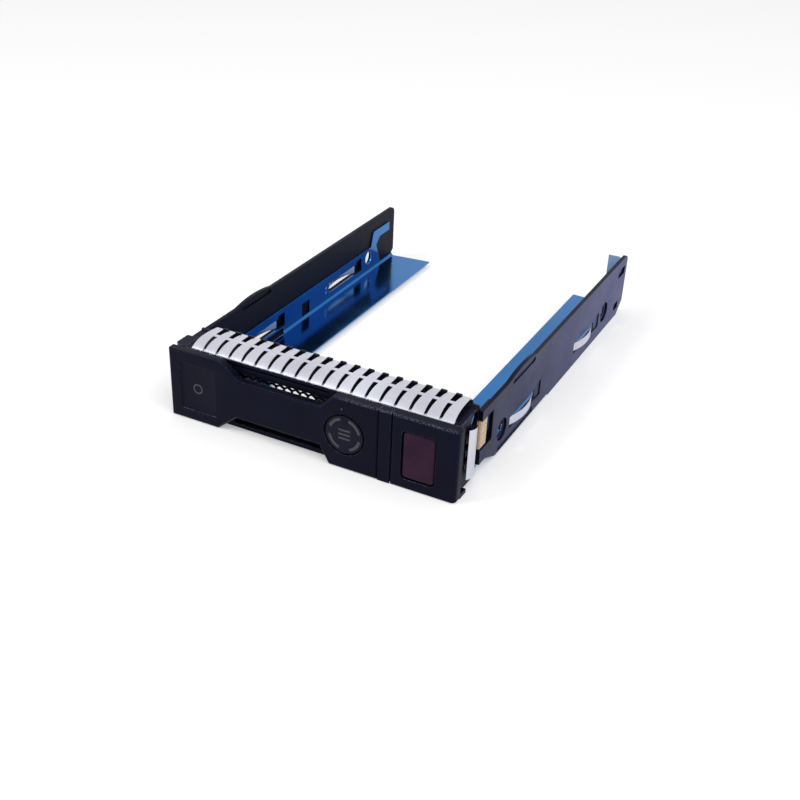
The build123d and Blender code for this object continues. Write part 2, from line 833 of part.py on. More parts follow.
def right_leaf(front):
    """Leaf spring: a riveted foot and a bow that stands out through the slot."""
    rear = front + leaf_length
    base = rail_inner
    bow = arched((base, front), (base + leaf_rise, (front + rear) / 2), (base, rear),
                 (leaf_sheet, 0))
    low = leaf_z - leaf_width / 2
    high = leaf_z + leaf_width / 2
    leaf = flat(bow, low, high) + block(base, base + leaf_sheet, front - leaf_foot + seat_gap,
                                        front, low, high)
    for y, z in rivet_places(front):
        leaf -= rivet_rod(y, z, rivet_radius + pin_fit, base, base + leaf_sheet)
    return leaf


def right_rivets():
    """Rivets through bracket and leaf foot, flush inside, and closed against the rail."""
    return [rivet_rod(y, z, rivet_radius, bracket_inner, rail_inner + leaf_sheet)
            for front in leaf_fronts for y, z in rivet_places(front)]


def release_button():
    """Sliding button with a flange behind the bezel and a wedge at its back."""
    centre = Pos(button_left + button_width / 2, button_low + button_height / 2)
    face = centre * RectangleRounded(button_width, button_height, button_corner)
    button = upright(face, button_sink, flange_rear)
    front = button.edges().filter_by_position(Axis.Y, button_sink - 0.001, button_sink + 0.001)
    button = chamfer(front, button_edge)
    button += upright(centre * RectangleRounded(
        button_width + button_flange * 2, button_height + button_flange * 2, button_corner),
        flange_front, flange_rear)
    toe = wedge_line - wedge_right
    wedge = polygon((wedge_left, flange_rear), (wedge_right, flange_rear), (wedge_right, toe),
                    (wedge_left + wedge_nose, wedge_tip), (wedge_left, wedge_tip))
    return button + flat(wedge, nose_low - slide_gap, nose_high)


def release_catch():
    """Sliding catch: the nose beside the lever's tongue, and the ramp for the button."""
    nose = block(tongue_right + nose_gap, catch_left, nose_front, nose_rear, nose_low, nose_high)
    plate = block(catch_left, catch_right, nose_front, catch_plate_rear,
                  catch_plate_low, catch_plate_top)
    post = block(catch_left, catch_left + catch_post, nose_front, nose_rear,
                 catch_plate_top, nose_high)
    ramp = polygon((ramp_line - ramp_front, ramp_front), (catch_right, ramp_front),
                   (catch_right, ramp_rear), (ramp_line - ramp_rear, ramp_rear))
    return nose + plate + post + flat(ramp, catch_plate_low, nose_high)


def catch_spring():
    """Coil spring of square wire between the catch and the frame's side wall."""
    start = catch_right + catch_spring_wire / 2
    span = rail_inner - frame_wall - catch_spring_wire / 2 - start
    path = Helix(span / catch_spring_turns, span, catch_spring_radius - catch_spring_wire / 2,
                 center=(start, (ramp_front + ramp_rear) / 2, (nose_low + nose_high) / 2),
                 direction=(1, 0, 0))
    section = Plane(origin=path @ 0, x_dir=(1, 0, 0), z_dir=path % 0) * Rectangle(
        catch_spring_wire, catch_spring_wire)
    return sweep(section, path=path, is_frenet=True)


def film_tab():
    """Thin film tab on the rear of the right rail, folded inwards."""
    outer = rail_inner
    turn = film_bend + film_sheet
    leg = Pos(outer - film_sheet / 2, (film_front + film_rear - turn) / 2) * Rectangle(
        film_sheet, film_rear - turn - film_front)
    bend = Pos(outer - turn, film_rear - turn) * (Circle(turn) - Circle(film_bend))
    bend &= Pos(outer - turn / 2, film_rear - turn / 2) * Rectangle(turn, turn)
    tip = Pos(outer - (turn + film_reach) / 2, film_rear - film_sheet / 2) * Rectangle(
        film_reach - turn, film_sheet)
    return flat(leg + bend + tip, film_low, film_high)


def both_sides(part):
    """A right-hand part and its mirror image."""
    return part, mirror(part, about=Plane.YZ)


def all_nodes():
    """Every node of the carrier by name."""
    nodes = {
        "bezel_frame": bezel_frame(), "vent_screen": vent_screen(), "pivot_pin": pivot_pin(),
        "lever_cover": lever_cover(), "lever_end_cap": lever_end_cap(), "lever_arm": lever_arm(),
        "ring_disc": ring_disc(), "ring_lens": ring_lens(), "light_pipe": light_pipe(),
        "lamp_board": lamp_board(), "flex_circuit": flex_circuit(),
        "contact_board": contact_board(), "contact_pads": contact_pads(),
        "finger_strip": finger_strip(), "side_spring": side_spring(),
        "release_button": release_button(), "release_catch": release_catch(),
        "catch_spring": catch_spring(), "film_tab": film_tab()}
    nodes["right_rail"], nodes["left_rail"] = both_sides(right_rail())
    nodes["right_bracket"], nodes["left_bracket"] = both_sides(right_bracket())
    for name, front in zip(("front", "rear"), leaf_fronts):
        right, left = both_sides(right_leaf(front))
        nodes["right_%s_leaf" % name], nodes["left_%s_leaf" % name] = right, left
    rivets = right_rivets()
    nodes["right_rivets"] = Compound(rivets)
    nodes["left_rivets"] = Compound([mirror(rivet, about=Plane.YZ) for rivet in rivets])
    return nodes


def main():
    """Write one file for each node."""
    os.makedirs("parts", exist_ok=True)
    for name, part in all_nodes().items():
        export_step(Pos(0, -length / 2, 0) * part, "parts/%s.step" % name)


main()
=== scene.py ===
"""Looks of a hot swap carrier for one 3.5 inch drive.

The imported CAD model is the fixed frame: X runs right across the front, Y runs from the
front face to the rear, Z runs up, and the lengths are in metres. Each sub-assembly is a
class that dresses its CAD pieces and builds the small pieces that only the looks need.
"""

import json
import logging
import math
from dataclasses import dataclass, field
from enum import Enum

import bmesh
import bpy
import numpy as np
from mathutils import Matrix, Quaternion, Vector

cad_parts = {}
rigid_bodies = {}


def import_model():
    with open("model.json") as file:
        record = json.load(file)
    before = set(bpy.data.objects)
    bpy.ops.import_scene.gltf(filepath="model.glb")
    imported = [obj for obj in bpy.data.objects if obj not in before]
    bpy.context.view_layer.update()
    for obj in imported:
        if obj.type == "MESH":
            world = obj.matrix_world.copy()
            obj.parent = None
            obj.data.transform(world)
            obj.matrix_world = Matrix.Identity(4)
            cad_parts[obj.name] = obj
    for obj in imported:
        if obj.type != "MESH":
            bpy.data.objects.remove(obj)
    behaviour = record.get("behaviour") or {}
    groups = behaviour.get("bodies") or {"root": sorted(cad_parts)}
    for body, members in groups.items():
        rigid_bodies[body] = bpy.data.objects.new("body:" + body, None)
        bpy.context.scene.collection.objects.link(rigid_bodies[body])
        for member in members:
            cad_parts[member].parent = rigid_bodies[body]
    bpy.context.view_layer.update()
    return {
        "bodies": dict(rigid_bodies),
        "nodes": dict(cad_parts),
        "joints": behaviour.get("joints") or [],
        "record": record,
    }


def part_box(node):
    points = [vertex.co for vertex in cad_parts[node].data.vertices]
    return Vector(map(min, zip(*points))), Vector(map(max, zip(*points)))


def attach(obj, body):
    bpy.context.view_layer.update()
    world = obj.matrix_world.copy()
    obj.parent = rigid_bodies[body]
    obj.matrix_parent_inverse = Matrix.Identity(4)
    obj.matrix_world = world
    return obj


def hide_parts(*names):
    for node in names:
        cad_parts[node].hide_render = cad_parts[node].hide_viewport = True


MM = 0.001
LOG = logging.getLogger("drive_carrier")

Colour = tuple[float, float, float]
Point = tuple[float, float, float]


class Body(Enum):
    """Rigid bodies of the carrier that a piece can ride on."""

    CARRIER = "carrier"
    LEVER = "lever"
    BUTTON = "button"
    CATCH = "catch"


class Slot(Enum):
    """Material slots of the carrier's record."""

    FRAME = "frame_plastic"
    RAIL = "rail_plastic"
    BLUE = "blue_steel"
    SPRING = "spring_steel"
    SCREEN = "screen_steel"
    ARM = "arm_steel"
    BUTTON = "burgundy_plastic"
    RING = "ring_black"
    GUIDE = "clear_guide"
    BOARD = "board_face"
    LAMP_BOARD = "lamp_board_face"
    GOLD = "gold_contact"
    FLEX = "amber_flex"
    FILM = "blue_film"


def screen_colour(red: int, green: int, blue: int) -> Colour:
    """Linear colour of an 8 bit screen colour.

    Each channel is ((c / 255 + 0.055) / 1.055) to the power 2.4.

    Args:
        red: Red from 0 to 255.
        green: Green from 0 to 255.
        blue: Blue from 0 to 255.

    Returns:
        The three linear channels.
    """
    values = (np.array([red, green, blue]) / 255 + 0.055) / 1.055
    return tuple(float(v) for v in values ** 2.4)


class Graph:
    """Adds shader nodes to a tree and joins their sockets."""

    def __init__(self, tree: bpy.types.NodeTree) -> None:
        """Keeps the tree that the nodes go into."""
        self.tree = tree

    def add(self, kind: str, inputs: dict | None = None, **settings: object) -> bpy.types.Node:
        """Adds one node.

        Args:
            kind: Blender's name for the node's type.
            inputs: Value or source socket for each input, by name or number.
            **settings: Properties of the node itself.

        Returns:
            The new node.
        """
        node = self.tree.nodes.new(kind)
        for name, value in settings.items():
            setattr(node, name, value)
        for key, value in (inputs or {}).items():
            if isinstance(value, bpy.types.NodeSocket):
                self.tree.links.new(value, node.inputs[key])
            else:
                node.inputs[key].default_value = value
        return node

    def math(self, operation: str, *values: object, clamp: bool = False) -> bpy.types.NodeSocket:
        """Output of a Math node on one to three values or sockets."""
        node = self.add("ShaderNodeMath", dict(enumerate(values)), operation=operation,
                        use_clamp=clamp)
        return node.outputs[0]

    def spread(self, value: object, low: float, high: float,
               to_low: float, to_high: float) -> bpy.types.NodeSocket:
        """Output of a Map Range node, held inside its target range."""
        node = self.add("ShaderNodeMapRange", {
            "Value": value, "From Min": low, "From Max": high, "To Min": to_low,
            "To Max": to_high}, clamp=True)
        return node.outputs["Result"]

    def blend(self, factor: object, first: object, second: object) -> bpy.types.NodeSocket:
        """Colour mixed from a first colour at 0 to a second at 1."""
        node = self.add("ShaderNodeMix", data_type="RGBA")
        for key, value in ((0, factor), (6, first), (7, second)):
            if isinstance(value, bpy.types.NodeSocket):
                self.tree.links.new(value, node.inputs[key])
            else:
                node.inputs[key].default_value = (*value, 1.0) if key else value
        return node.outputs[2]

    def place(self) -> bpy.types.NodeSocket:
        """Place on the object, in metres of the row frame."""
        return self.add("ShaderNodeTexCoord").outputs["Object"]

    def noise(self, place: object, scale: object, detail: float = 2.0,
              roughness: float = 0.5) -> bpy.types.NodeSocket:
        """Value of a noise texture, from 0 to 1."""
        node = self.add("ShaderNodeTexNoise", {
            "Vector": place, "Scale": scale, "Detail": detail, "Roughness": roughness})
        return node.outputs["Fac"]


class Effects:
    """Shader node groups that several finishes share."""

    @staticmethod
    def start(name: str, inputs: dict[str, tuple[str, float]],
              outputs: tuple[str, ...]) -> tuple[Graph, bpy.types.Node, bpy.types.Node]:
        """Makes an empty group with its sockets.

        Args:
            name: Name of the group.
            inputs: Socket kind and default for each input.
            outputs: Names of the value outputs.

        Returns:
            The group's graph, its input node and its output node.
        """
        tree = bpy.data.node_groups.new(name, "ShaderNodeTree")
        for key, (kind, default) in inputs.items():
            socket = tree.interface.new_socket(key, in_out="INPUT", socket_type=kind)
            if kind == "NodeSocketFloat":
                socket.default_value = default
        for key in outputs:
            tree.interface.new_socket(key, in_out="OUTPUT", socket_type="NodeSocketFloat")
        graph = Graph(tree)
        return graph, graph.add("NodeGroupInput"), graph.add("NodeGroupOutput")

    @staticmethod
    def finish(graph: Graph, target: bpy.types.Node,
               values: dict[str, bpy.types.NodeSocket]) -> bpy.types.NodeTree:
        """Joins the results to a group's outputs and returns the group."""
        for key, value in values.items():
            graph.tree.links.new(value, target.inputs[key])
        return graph.tree

    @classmethod
    def moulded_grain(cls) -> bpy.types.NodeTree:
        """Spark-eroded mould texture: fine noise over soft cells, and a slow tone."""
        graph, given, target = cls.start("moulded_grain", {
            "Place": ("NodeSocketVector", 0.0), "Size": ("NodeSocketFloat", 0.0003)},
            ("Height", "Tone"))
        scale = graph.math("DIVIDE", 1.0, given.outputs["Size"])
        cells = graph.add("ShaderNodeTexVoronoi", {
            "Vector": given.outputs["Place"], "Scale": scale}, feature="SMOOTH_F1")
        fine = graph.noise(given.outputs["Place"], graph.math("MULTIPLY", scale, 1.7), 3.0, 0.6)
        height = graph.math("ADD", graph.math("MULTIPLY", cells.outputs["Distance"], 0.6), fine)
        tone = graph.noise(given.outputs["Place"], 55.0, 4.0, 0.55)
        return cls.finish(graph, target, {"Height": height, "Tone": tone})

    @classmethod
    def drawn_sheet(cls) -> bpy.types.NodeTree:
        """Rolling marks of sheet metal: noise pulled out along Y, and a slow tone."""
        graph, given, target = cls.start("drawn_sheet", {
            "Place": ("NodeSocketVector", 0.0), "Size": ("NodeSocketFloat", 0.0002),
            "Stretch": ("NodeSocketFloat", 0.04)}, ("Height", "Tone"))
        squeeze = graph.add("ShaderNodeCombineXYZ", {
            "X": 1.0, "Y": given.outputs["Stretch"], "Z": 1.0})
        pulled = graph.add("ShaderNodeVectorMath", {
            0: given.outputs["Place"], 1: squeeze.outputs[0]}, operation="MULTIPLY")
        scale = graph.math("DIVIDE", 1.0, given.outputs["Size"])
        marks = graph.noise(pulled.outputs[0], scale, 4.0, 0.65)
        slow = graph.noise(given.outputs["Place"], 38.0, 3.0, 0.5)
        return cls.finish(graph, target, {"Height": marks, "Tone": slow})

    @classmethod
    def edge_wear_and_highlight(cls) -> bpy.types.NodeTree:
        """Mask of outside edges, where a rounded normal leaves the true one, broken by noise:
        rubbed edges and painted highlight alike.
        """
        graph, given, target = cls.start("edge_wear_and_highlight", {
            "Place": ("NodeSocketVector", 0.0), "Radius": ("NodeSocketFloat", 0.0003)},
            ("Mask",))
        rounded = graph.add("ShaderNodeBevel", {"Radius": given.outputs["Radius"]}, samples=6)
        true_normal = graph.add("ShaderNodeNewGeometry").outputs["Normal"]
        match = graph.add("ShaderNodeVectorMath", {
            0: rounded.outputs[0], 1: true_normal}, operation="DOT_PRODUCT")
        turn = graph.spread(match.outputs["Value"], 1.0, 0.86, 0.0, 1.0)
        broken = graph.spread(graph.noise(given.outputs["Place"], 1300.0, 4.0, 0.6),
                              0.44, 0.62, 0.12, 1.0)
        return cls.finish(graph, target, {"Mask": graph.math("MULTIPLY", turn, broken, clamp=True)})

    @classmethod
    def light_dust(cls) -> bpy.types.NodeTree:
        """Dust specks that lie on faces that look up."""
        graph, given, target = cls.start("light_dust", {
            "Place": ("NodeSocketVector", 0.0), "Amount": ("NodeSocketFloat", 0.3)}, ("Mask",))
        facing = graph.add("ShaderNodeSeparateXYZ", {
            0: graph.add("ShaderNodeNewGeometry").outputs["Normal"]})
        upward = graph.spread(facing.outputs["Z"], 0.25, 0.9, 0.12, 1.0)
        specks = graph.spread(graph.noise(given.outputs["Place"], 2600.0, 2.0, 0.5),
                              0.66, 0.74, 0.0, 1.0)
        patches = graph.spread(graph.noise(given.outputs["Place"], 90.0, 3.0, 0.5),
                               0.4, 0.7, 0.2, 1.0)
        mask = graph.math("MULTIPLY", graph.math("MULTIPLY", specks, patches),
                          graph.math("MULTIPLY", upward, given.outputs["Amount"]), clamp=True)
        return cls.finish(graph, target, {"Mask": mask})


def effect(name: str) -> bpy.types.NodeTree:
    """The shared group of that name, built the first time that it is asked for."""
    return bpy.data.node_groups.get(name) or getattr(Effects, name)()


@dataclass(frozen=True)
class Finish:
    """What every finish has: its slot, its colour and how rough it is."""

    slot: Slot
    colour: Colour
    roughness: float

    def begin(self) -> tuple[bpy.types.Material, Graph, bpy.types.Node]:
        """Makes the material and its Principled shader.

        Returns:
            The material, its graph and the shader node.
        """
        material = bpy.data.materials.new(self.slot.value)
        material.use_nodes = True
        material.node_tree.nodes.clear()
        graph = Graph(material.node_tree)
        shader = graph.add("ShaderNodeBsdfPrincipled")
        graph.add("ShaderNodeOutputMaterial", {"Surface": shader.outputs[0]})
        return material, graph, shader

    def use(self, graph: Graph, name: str, **inputs: object) -> bpy.types.Node:
        """Places a shared effect in this material with its own values."""
        values = {key.capitalize(): value for key, value in inputs.items()}
        return graph.add("ShaderNodeGroup", {"Place": graph.place(), **values},
                         node_tree=effect(name))

    def relief(self, graph: Graph, shader: bpy.types.Node, height: bpy.types.NodeSocket,
               depth: float, strength: float) -> None:
        """Feeds a height through a Bump node into the shader's normal."""
        bump = graph.add("ShaderNodeBump", {
            "Height": height, "Distance": depth, "Strength": strength})
        graph.tree.links.new(bump.outputs[0], shader.inputs["Normal"])

    def feed(self, graph: Graph, shader: bpy.types.Node, key: str,
             value: bpy.types.NodeSocket) -> None:
        """Joins a socket to one input of the shader."""
        graph.tree.links.new(value, shader.inputs[key])


@dataclass(frozen=True)
class MouldedPlastic(Finish):
    """Filled plastic out of a textured mould, pale on its upward edges from rubbing and from a
    painted highlight.
    """

    specular: float = 0.3
    grain: float = 0.32 * MM
    depth: float = 0.02 * MM
    wear_and_highlight_colour: Colour = screen_colour(86, 86, 104)
    wear_and_highlight: float = 0.35
    dust: float = 0.35
    sheen_colour: Colour = (0.45, 0.5, 1.0)

    def ground(self, graph: Graph, tone: bpy.types.NodeSocket) -> bpy.types.NodeSocket:
        """Colour of the unworn plastic, a little darker and lighter with the slow tone."""
        darker = tuple(c * 0.72 for c in self.colour)
        lighter = tuple(c * 1.3 for c in self.colour)
        return graph.blend(graph.spread(tone, 0.35, 0.65, 0.0, 1.0), darker, lighter)

    def build(self) -> bpy.types.Material:
        """Colour from tone, pale rubbed edges with a painted highlight kept to edges that face up,
        and dust; roughness and bump from the mould's grain.
        """
        material, graph, shader = self.begin()
        grain = self.use(graph, "moulded_grain", size=self.grain)
        wear_and_highlight = self.use(graph, "edge_wear_and_highlight", radius=0.45 * MM)
        dust = self.use(graph, "light_dust", amount=self.dust)
        base = self.ground(graph, grain.outputs["Tone"])
        facing = graph.add("ShaderNodeSeparateXYZ", {
            0: graph.add("ShaderNodeNewGeometry").outputs["Normal"]})
        # painted highlight: the pale edge colour falls mostly on edges that face up, where the
        # light falls; it stands for rubbed edges too
        upward = graph.spread(facing.outputs["Z"], 0.1, 0.5, 0.12, self.wear_and_highlight)
        worn_and_highlit = graph.blend(graph.math("MULTIPLY", wear_and_highlight.outputs["Mask"], upward), base,
                           self.wear_and_highlight_colour)
        dusty = graph.blend(dust.outputs["Mask"], worn_and_highlit, screen_colour(150, 150, 158))
        self.feed(graph, shader, "Base Color", dusty)
        rough = graph.math("ADD", graph.spread(grain.outputs["Tone"], 0.3, 0.7,
                                               self.roughness - 0.06, self.roughness + 0.06),
                           graph.math("MULTIPLY", dust.outputs["Mask"], 0.3))
        self.feed(graph, shader, "Roughness", rough)
        shader.inputs["Specular IOR Level"].default_value = self.specular
        shader.inputs["Specular Tint"].default_value = (*self.sheen_colour, 1.0)
        self.relief(graph, shader, grain.outputs["Height"], self.depth, 0.55)
        return material


@dataclass(frozen=True)
class HighlitFrontPlastic(MouldedPlastic):
    """Front plastic with a painted highlight: bright specks along its top front edge."""

    highlight_colour: Colour = screen_colour(158, 158, 182)
    highlight_height: tuple[float, float] = (24.7 * MM, 25.2 * MM)
    highlight_front: tuple[float, float] = (-79.5 * MM, -80.0 * MM)
    highlight_left: tuple[float, float] = (8.0 * MM, 15.0 * MM)

    def ground(self, graph: Graph, tone: bpy.types.NodeSocket) -> bpy.types.NodeSocket:
        """Plain plastic with painted highlight specks near the top and the front face, from the
        lever's head on.
        """
        plain = super().ground(graph, tone)
        place = graph.add("ShaderNodeSeparateXYZ", {0: graph.place()})
        high = graph.spread(place.outputs["Z"], *self.highlight_height, 0.0, 1.0)
        front = graph.spread(place.outputs["Y"], *self.highlight_front, 0.0, 1.0)
        right = graph.spread(place.outputs["X"], *self.highlight_left, 0.0, 1.0)
        # painted highlight: speckled glints along the top front edge of the lever's head and the
        # block
        specks = graph.spread(graph.noise(graph.place(), 2400.0, 3.0, 0.6), 0.48, 0.66, 0.0, 0.42)
        mask = graph.math("MULTIPLY", graph.math("MULTIPLY", high, front),
                          graph.math("MULTIPLY", right, specks))
        return graph.blend(mask, plain, self.highlight_colour)


@dataclass(frozen=True)
class PaintedSheenPlastic(MouldedPlastic):
    """Rail plastic with a painted reflection: a paler navy grey on the faces that look outwards,
    stronger towards the rear.
    """

    painted_sheen_colour: Colour = screen_colour(92, 98, 138)

    def ground(self, graph: Graph, tone: bpy.types.NodeSocket) -> bpy.types.NodeSocket:
        """Plain plastic, blended to the painted reflection colour where a face looks away from the
        middle, more towards the rear.
        """
        plain = super().ground(graph, tone)
        place = graph.add("ShaderNodeSeparateXYZ", {0: graph.place()})
        facing = graph.add("ShaderNodeSeparateXYZ", {
            0: graph.add("ShaderNodeNewGeometry").outputs["Normal"]})
        # painted reflection: outward faces lighter, rising towards the rear and broken in patches
        outward = graph.math("MULTIPLY", graph.math("SIGN", place.outputs["X"]),
                             facing.outputs["X"])
        patchy = graph.spread(graph.noise(graph.place(), 70.0, 4.0, 0.6), 0.3, 0.7, 0.7, 1.0)
        rearward_sheen = graph.spread(place.outputs["Y"], -0.06, 0.07, 0.3, 1.0)
        mask = graph.math("MULTIPLY", graph.spread(outward, 0.5, 0.95, 0.0, 1.0), patchy)
        return graph.blend(graph.math("MULTIPLY", mask, rearward_sheen), plain, self.painted_sheen_colour)


@dataclass(frozen=True)
class SheetMetal(Finish):
    """Rolled sheet, plain or with a coloured coat, with faint lines along Y."""

    line_size: float = 0.16 * MM
    stretch: float = 0.03
    depth: float = 0.004 * MM
    variation: float = 0.12
    edge_colour: Colour = screen_colour(205, 208, 215)
    wear_and_highlight: float = 0.5

    def build(self) -> bpy.types.Material:
        """Metal colour from slow tone and lines, bright edges from exposed metal and from a painted
        highlight, uneven roughness.
        """
        material, graph, shader = self.begin()
        sheet = self.use(graph, "drawn_sheet", size=self.line_size, stretch=self.stretch)
        wear_and_highlight = self.use(graph, "edge_wear_and_highlight", radius=0.18 * MM)
        low = tuple(c * (1 - self.variation) for c in self.colour)
        high = tuple(min(1.0, c * (1 + self.variation)) for c in self.colour)
        mixed = graph.math("ADD", graph.math("MULTIPLY", sheet.outputs["Tone"], 0.6),
                           graph.math("MULTIPLY", sheet.outputs["Height"], 0.4))
        base = graph.blend(graph.spread(mixed, 0.38, 0.62, 0.0, 1.0), low, high)
        # bright edges: exposed metal where a coat is rubbed through, and a painted highlight on the
        # plain springs, screen and arm
        bare_and_highlit = graph.blend(graph.math("MULTIPLY", wear_and_highlight.outputs["Mask"], self.wear_and_highlight), base,
                           self.edge_colour)
        self.feed(graph, shader, "Base Color", bare_and_highlit)
        self.feed(graph, shader, "Roughness", graph.spread(
            mixed, 0.35, 0.65, self.roughness - 0.05, self.roughness + 0.07))
        shader.inputs["Metallic"].default_value = 1.0
        self.relief(graph, shader, sheet.outputs["Height"], self.depth, 0.5)
        return material


@dataclass(frozen=True)
class ClearGuide(Finish):
    """Milky clear plastic that carries light, with a faint flow pattern."""

    transmission: float = 0.35

    def build(self) -> bpy.types.Material:
        """Cloudy colour and roughness over a partly clear plastic."""
        material, graph, shader = self.begin()
        grain = self.use(graph, "moulded_grain", size=0.9 * MM)
        tone = graph.spread(grain.outputs["Tone"], 0.35, 0.65, 0.0, 1.0)
        self.feed(graph, shader, "Base Color", graph.blend(
            tone, tuple(c * 0.85 for c in self.colour), self.colour))
        self.feed(graph, shader, "Roughness", graph.spread(
            grain.outputs["Tone"], 0.3, 0.7, self.roughness - 0.08, self.roughness + 0.08))
        shader.inputs["Transmission Weight"].default_value = self.transmission
        shader.inputs["IOR"].default_value = 1.49
        self.relief(graph, shader, grain.outputs["Height"], 0.01 * MM, 0.3)
        return material


@dataclass(frozen=True)
class BoardFace(Finish):
    """Coated circuit board, with copper lines that show as a raised pattern."""

    line_colour: Colour = screen_colour(188, 165, 132)
    pitch: float = 0.9 * MM

    def build(self) -> bpy.types.Material:
        """Bands across Z, bent by noise, stand for the lines under the coat."""
        material, graph, shader = self.begin()
        bands = graph.add("ShaderNodeTexWave", {
            "Vector": graph.place(), "Scale": 0.31 / self.pitch, "Distortion": 2.2,
            "Detail": 2.0, "Detail Scale": 1.4}, wave_type="BANDS", bands_direction="Z")
        lines = graph.spread(bands.outputs["Fac"], 0.62, 0.78, 0.0, 1.0)
        fibre = graph.noise(graph.place(), 1500.0, 3.0, 0.6)
        mixed = graph.blend(lines, self.colour, self.line_colour)
        darker = tuple(c * 0.8 for c in self.colour)
        self.feed(graph, shader, "Base Color", graph.blend(
            graph.spread(fibre, 0.35, 0.6, 0.45, 0.0), mixed, darker))
        self.feed(graph, shader, "Roughness", graph.spread(
            fibre, 0.3, 0.7, self.roughness - 0.06, self.roughness + 0.06))
        self.relief(graph, shader, lines, 0.03 * MM, 0.5)
        return material


@dataclass(frozen=True)
class FilmSheet(Finish):
    """Thin tinted plastic film or flexible circuit with lines inside it."""

    specular: float = 0.5
    line_colour: Colour = screen_colour(150, 105, 40)
    line_pitch: float = 1.2 * MM
    transmission: float = 0.0

    def build(self) -> bpy.types.Material:
        """Bands along the film under a smooth coat with slow waves."""
        material, graph, shader = self.begin()
        bands = graph.add("ShaderNodeTexWave", {
            "Vector": graph.place(), "Scale": 0.31 / self.line_pitch, "Distortion": 0.3},
            wave_type="BANDS", bands_direction="Z")
        lines = graph.spread(bands.outputs["Fac"], 0.5, 0.66, 0.0, 1.0)
        waves = graph.noise(graph.place(), 260.0, 2.0, 0.5)
        base = graph.blend(lines, self.colour, self.line_colour)
        self.feed(graph, shader, "Base Color", graph.blend(
            graph.spread(waves, 0.35, 0.65, 0.0, 0.25), base, tuple(c * 0.6 for c in self.colour)))
        self.feed(graph, shader, "Roughness", graph.spread(
            waves, 0.3, 0.7, self.roughness - 0.05, self.roughness + 0.08))
        shader.inputs["Specular IOR Level"].default_value = self.specular
        self.relief(graph, shader, waves, 0.12 * MM, 0.5)
        return material


FINISHES = (
    # the frame's, rails' and button's pale edge colours paint a highlight as well as rubbed edges
    HighlitFrontPlastic(Slot.FRAME, screen_colour(13, 13, 27), 0.46, specular=0.1,
                   wear_and_highlight_colour=screen_colour(150, 152, 188), wear_and_highlight=0.6, dust=0.25),
    PaintedSheenPlastic(Slot.RAIL, screen_colour(9, 10, 24), 0.5, specular=0.1,
                  grain=0.4 * MM, wear_and_highlight_colour=screen_colour(104, 106, 136)),
    MouldedPlastic(Slot.BUTTON, screen_colour(54, 30, 48), 0.38, specular=0.12,
                   grain=0.45 * MM, wear_and_highlight=0.3, wear_and_highlight_colour=screen_colour(104, 68, 88)),
    MouldedPlastic(Slot.RING, screen_colour(24, 25, 36), 0.38, specular=0.12,
                   grain=0.2 * MM, wear_and_highlight=0.1, dust=0.15),
    SheetMetal(Slot.BLUE, screen_colour(34, 106, 170), 0.15, depth=0.002 * MM,
               edge_colour=screen_colour(150, 190, 225), wear_and_highlight=0.35),
    # the springs' near-white edge colour paints rim highlights
    SheetMetal(Slot.SPRING, screen_colour(205, 206, 218), 0.30, line_size=0.3 * MM,
               variation=0.12, stretch=0.35, depth=0.01 * MM,
               edge_colour=screen_colour(246, 246, 250)),
    SheetMetal(Slot.SCREEN, screen_colour(34, 35, 46), 0.42, variation=0.1),
    SheetMetal(Slot.ARM, screen_colour(176, 180, 190), 0.34),
    ClearGuide(Slot.GUIDE, screen_colour(56, 58, 68), 0.34, transmission=0.15),
    BoardFace(Slot.BOARD, screen_colour(208, 194, 178), 0.5),
    BoardFace(Slot.LAMP_BOARD, screen_colour(206, 206, 200), 0.45,
              line_colour=screen_colour(225, 222, 205)),
    SheetMetal(Slot.GOLD, screen_colour(206, 184, 158), 0.5, line_size=0.25 * MM,
               variation=0.25, stretch=1.0, depth=0.03 * MM, wear_and_highlight=0.3,
               edge_colour=screen_colour(240, 226, 204)),
    FilmSheet(Slot.FLEX, screen_colour(150, 104, 34), 0.3),
    FilmSheet(Slot.FILM, screen_colour(150, 178, 222), 0.28,
              line_colour=screen_colour(156, 184, 226)),
)


class Paint:
    """The finishes, made into materials once and handed out by slot."""

    def __init__(self) -> None:
        """Builds every finish's material."""
        self.materials = {finish.slot: finish.build() for finish in FINISHES}

    def put(self, piece: bpy.types.Object, slot: Slot) -> bpy.types.Object:
        """Gives a piece the material and the record's slot.

        Args:
            piece: Piece to paint.
            slot: Slot that it takes its finish from.

        Returns:
            The same piece.
        """
        piece.data.materials.clear()
        piece.data.materials.append(self.materials[slot])
        return piece


def piece_from_arrays(name: str, points: np.ndarray, quads: np.ndarray,
                      smooth: bool = True) -> bpy.types.Object:
    """Makes a mesh piece from whole arrays.

    Args:
        name: Name of the piece.
        points: Places of the vertices, one row each.
        quads: Vertex numbers of the faces, one row each.
        smooth: Whether the faces are shaded smooth up to a sharp angle.

    Returns:
        The piece, linked to the scene, with its normals facing out.
    """
    mesh = bpy.data.meshes.new(name)
    mesh.from_pydata(points.reshape(-1, 3).tolist(), [], quads.tolist())
    build = bmesh.new()
    build.from_mesh(mesh)
    bmesh.ops.remove_doubles(build, verts=build.verts, dist=1e-7)
    bmesh.ops.recalc_face_normals(build, faces=build.faces)
    build.to_mesh(mesh)
    build.free()
    piece = bpy.data.objects.new(name, mesh)
    bpy.context.scene.collection.objects.link(piece)
    if smooth:
        shade_by_angle(mesh, math.radians(38))
    return piece


def shade_by_angle(mesh: bpy.types.Mesh, angle: float) -> None:
    """Shades a mesh smooth, with its edges sharp past an angle in radians."""
    mesh.polygons.foreach_set("use_smooth", np.ones(len(mesh.polygons), bool))
    mesh.set_sharp_from_angle(angle=angle)


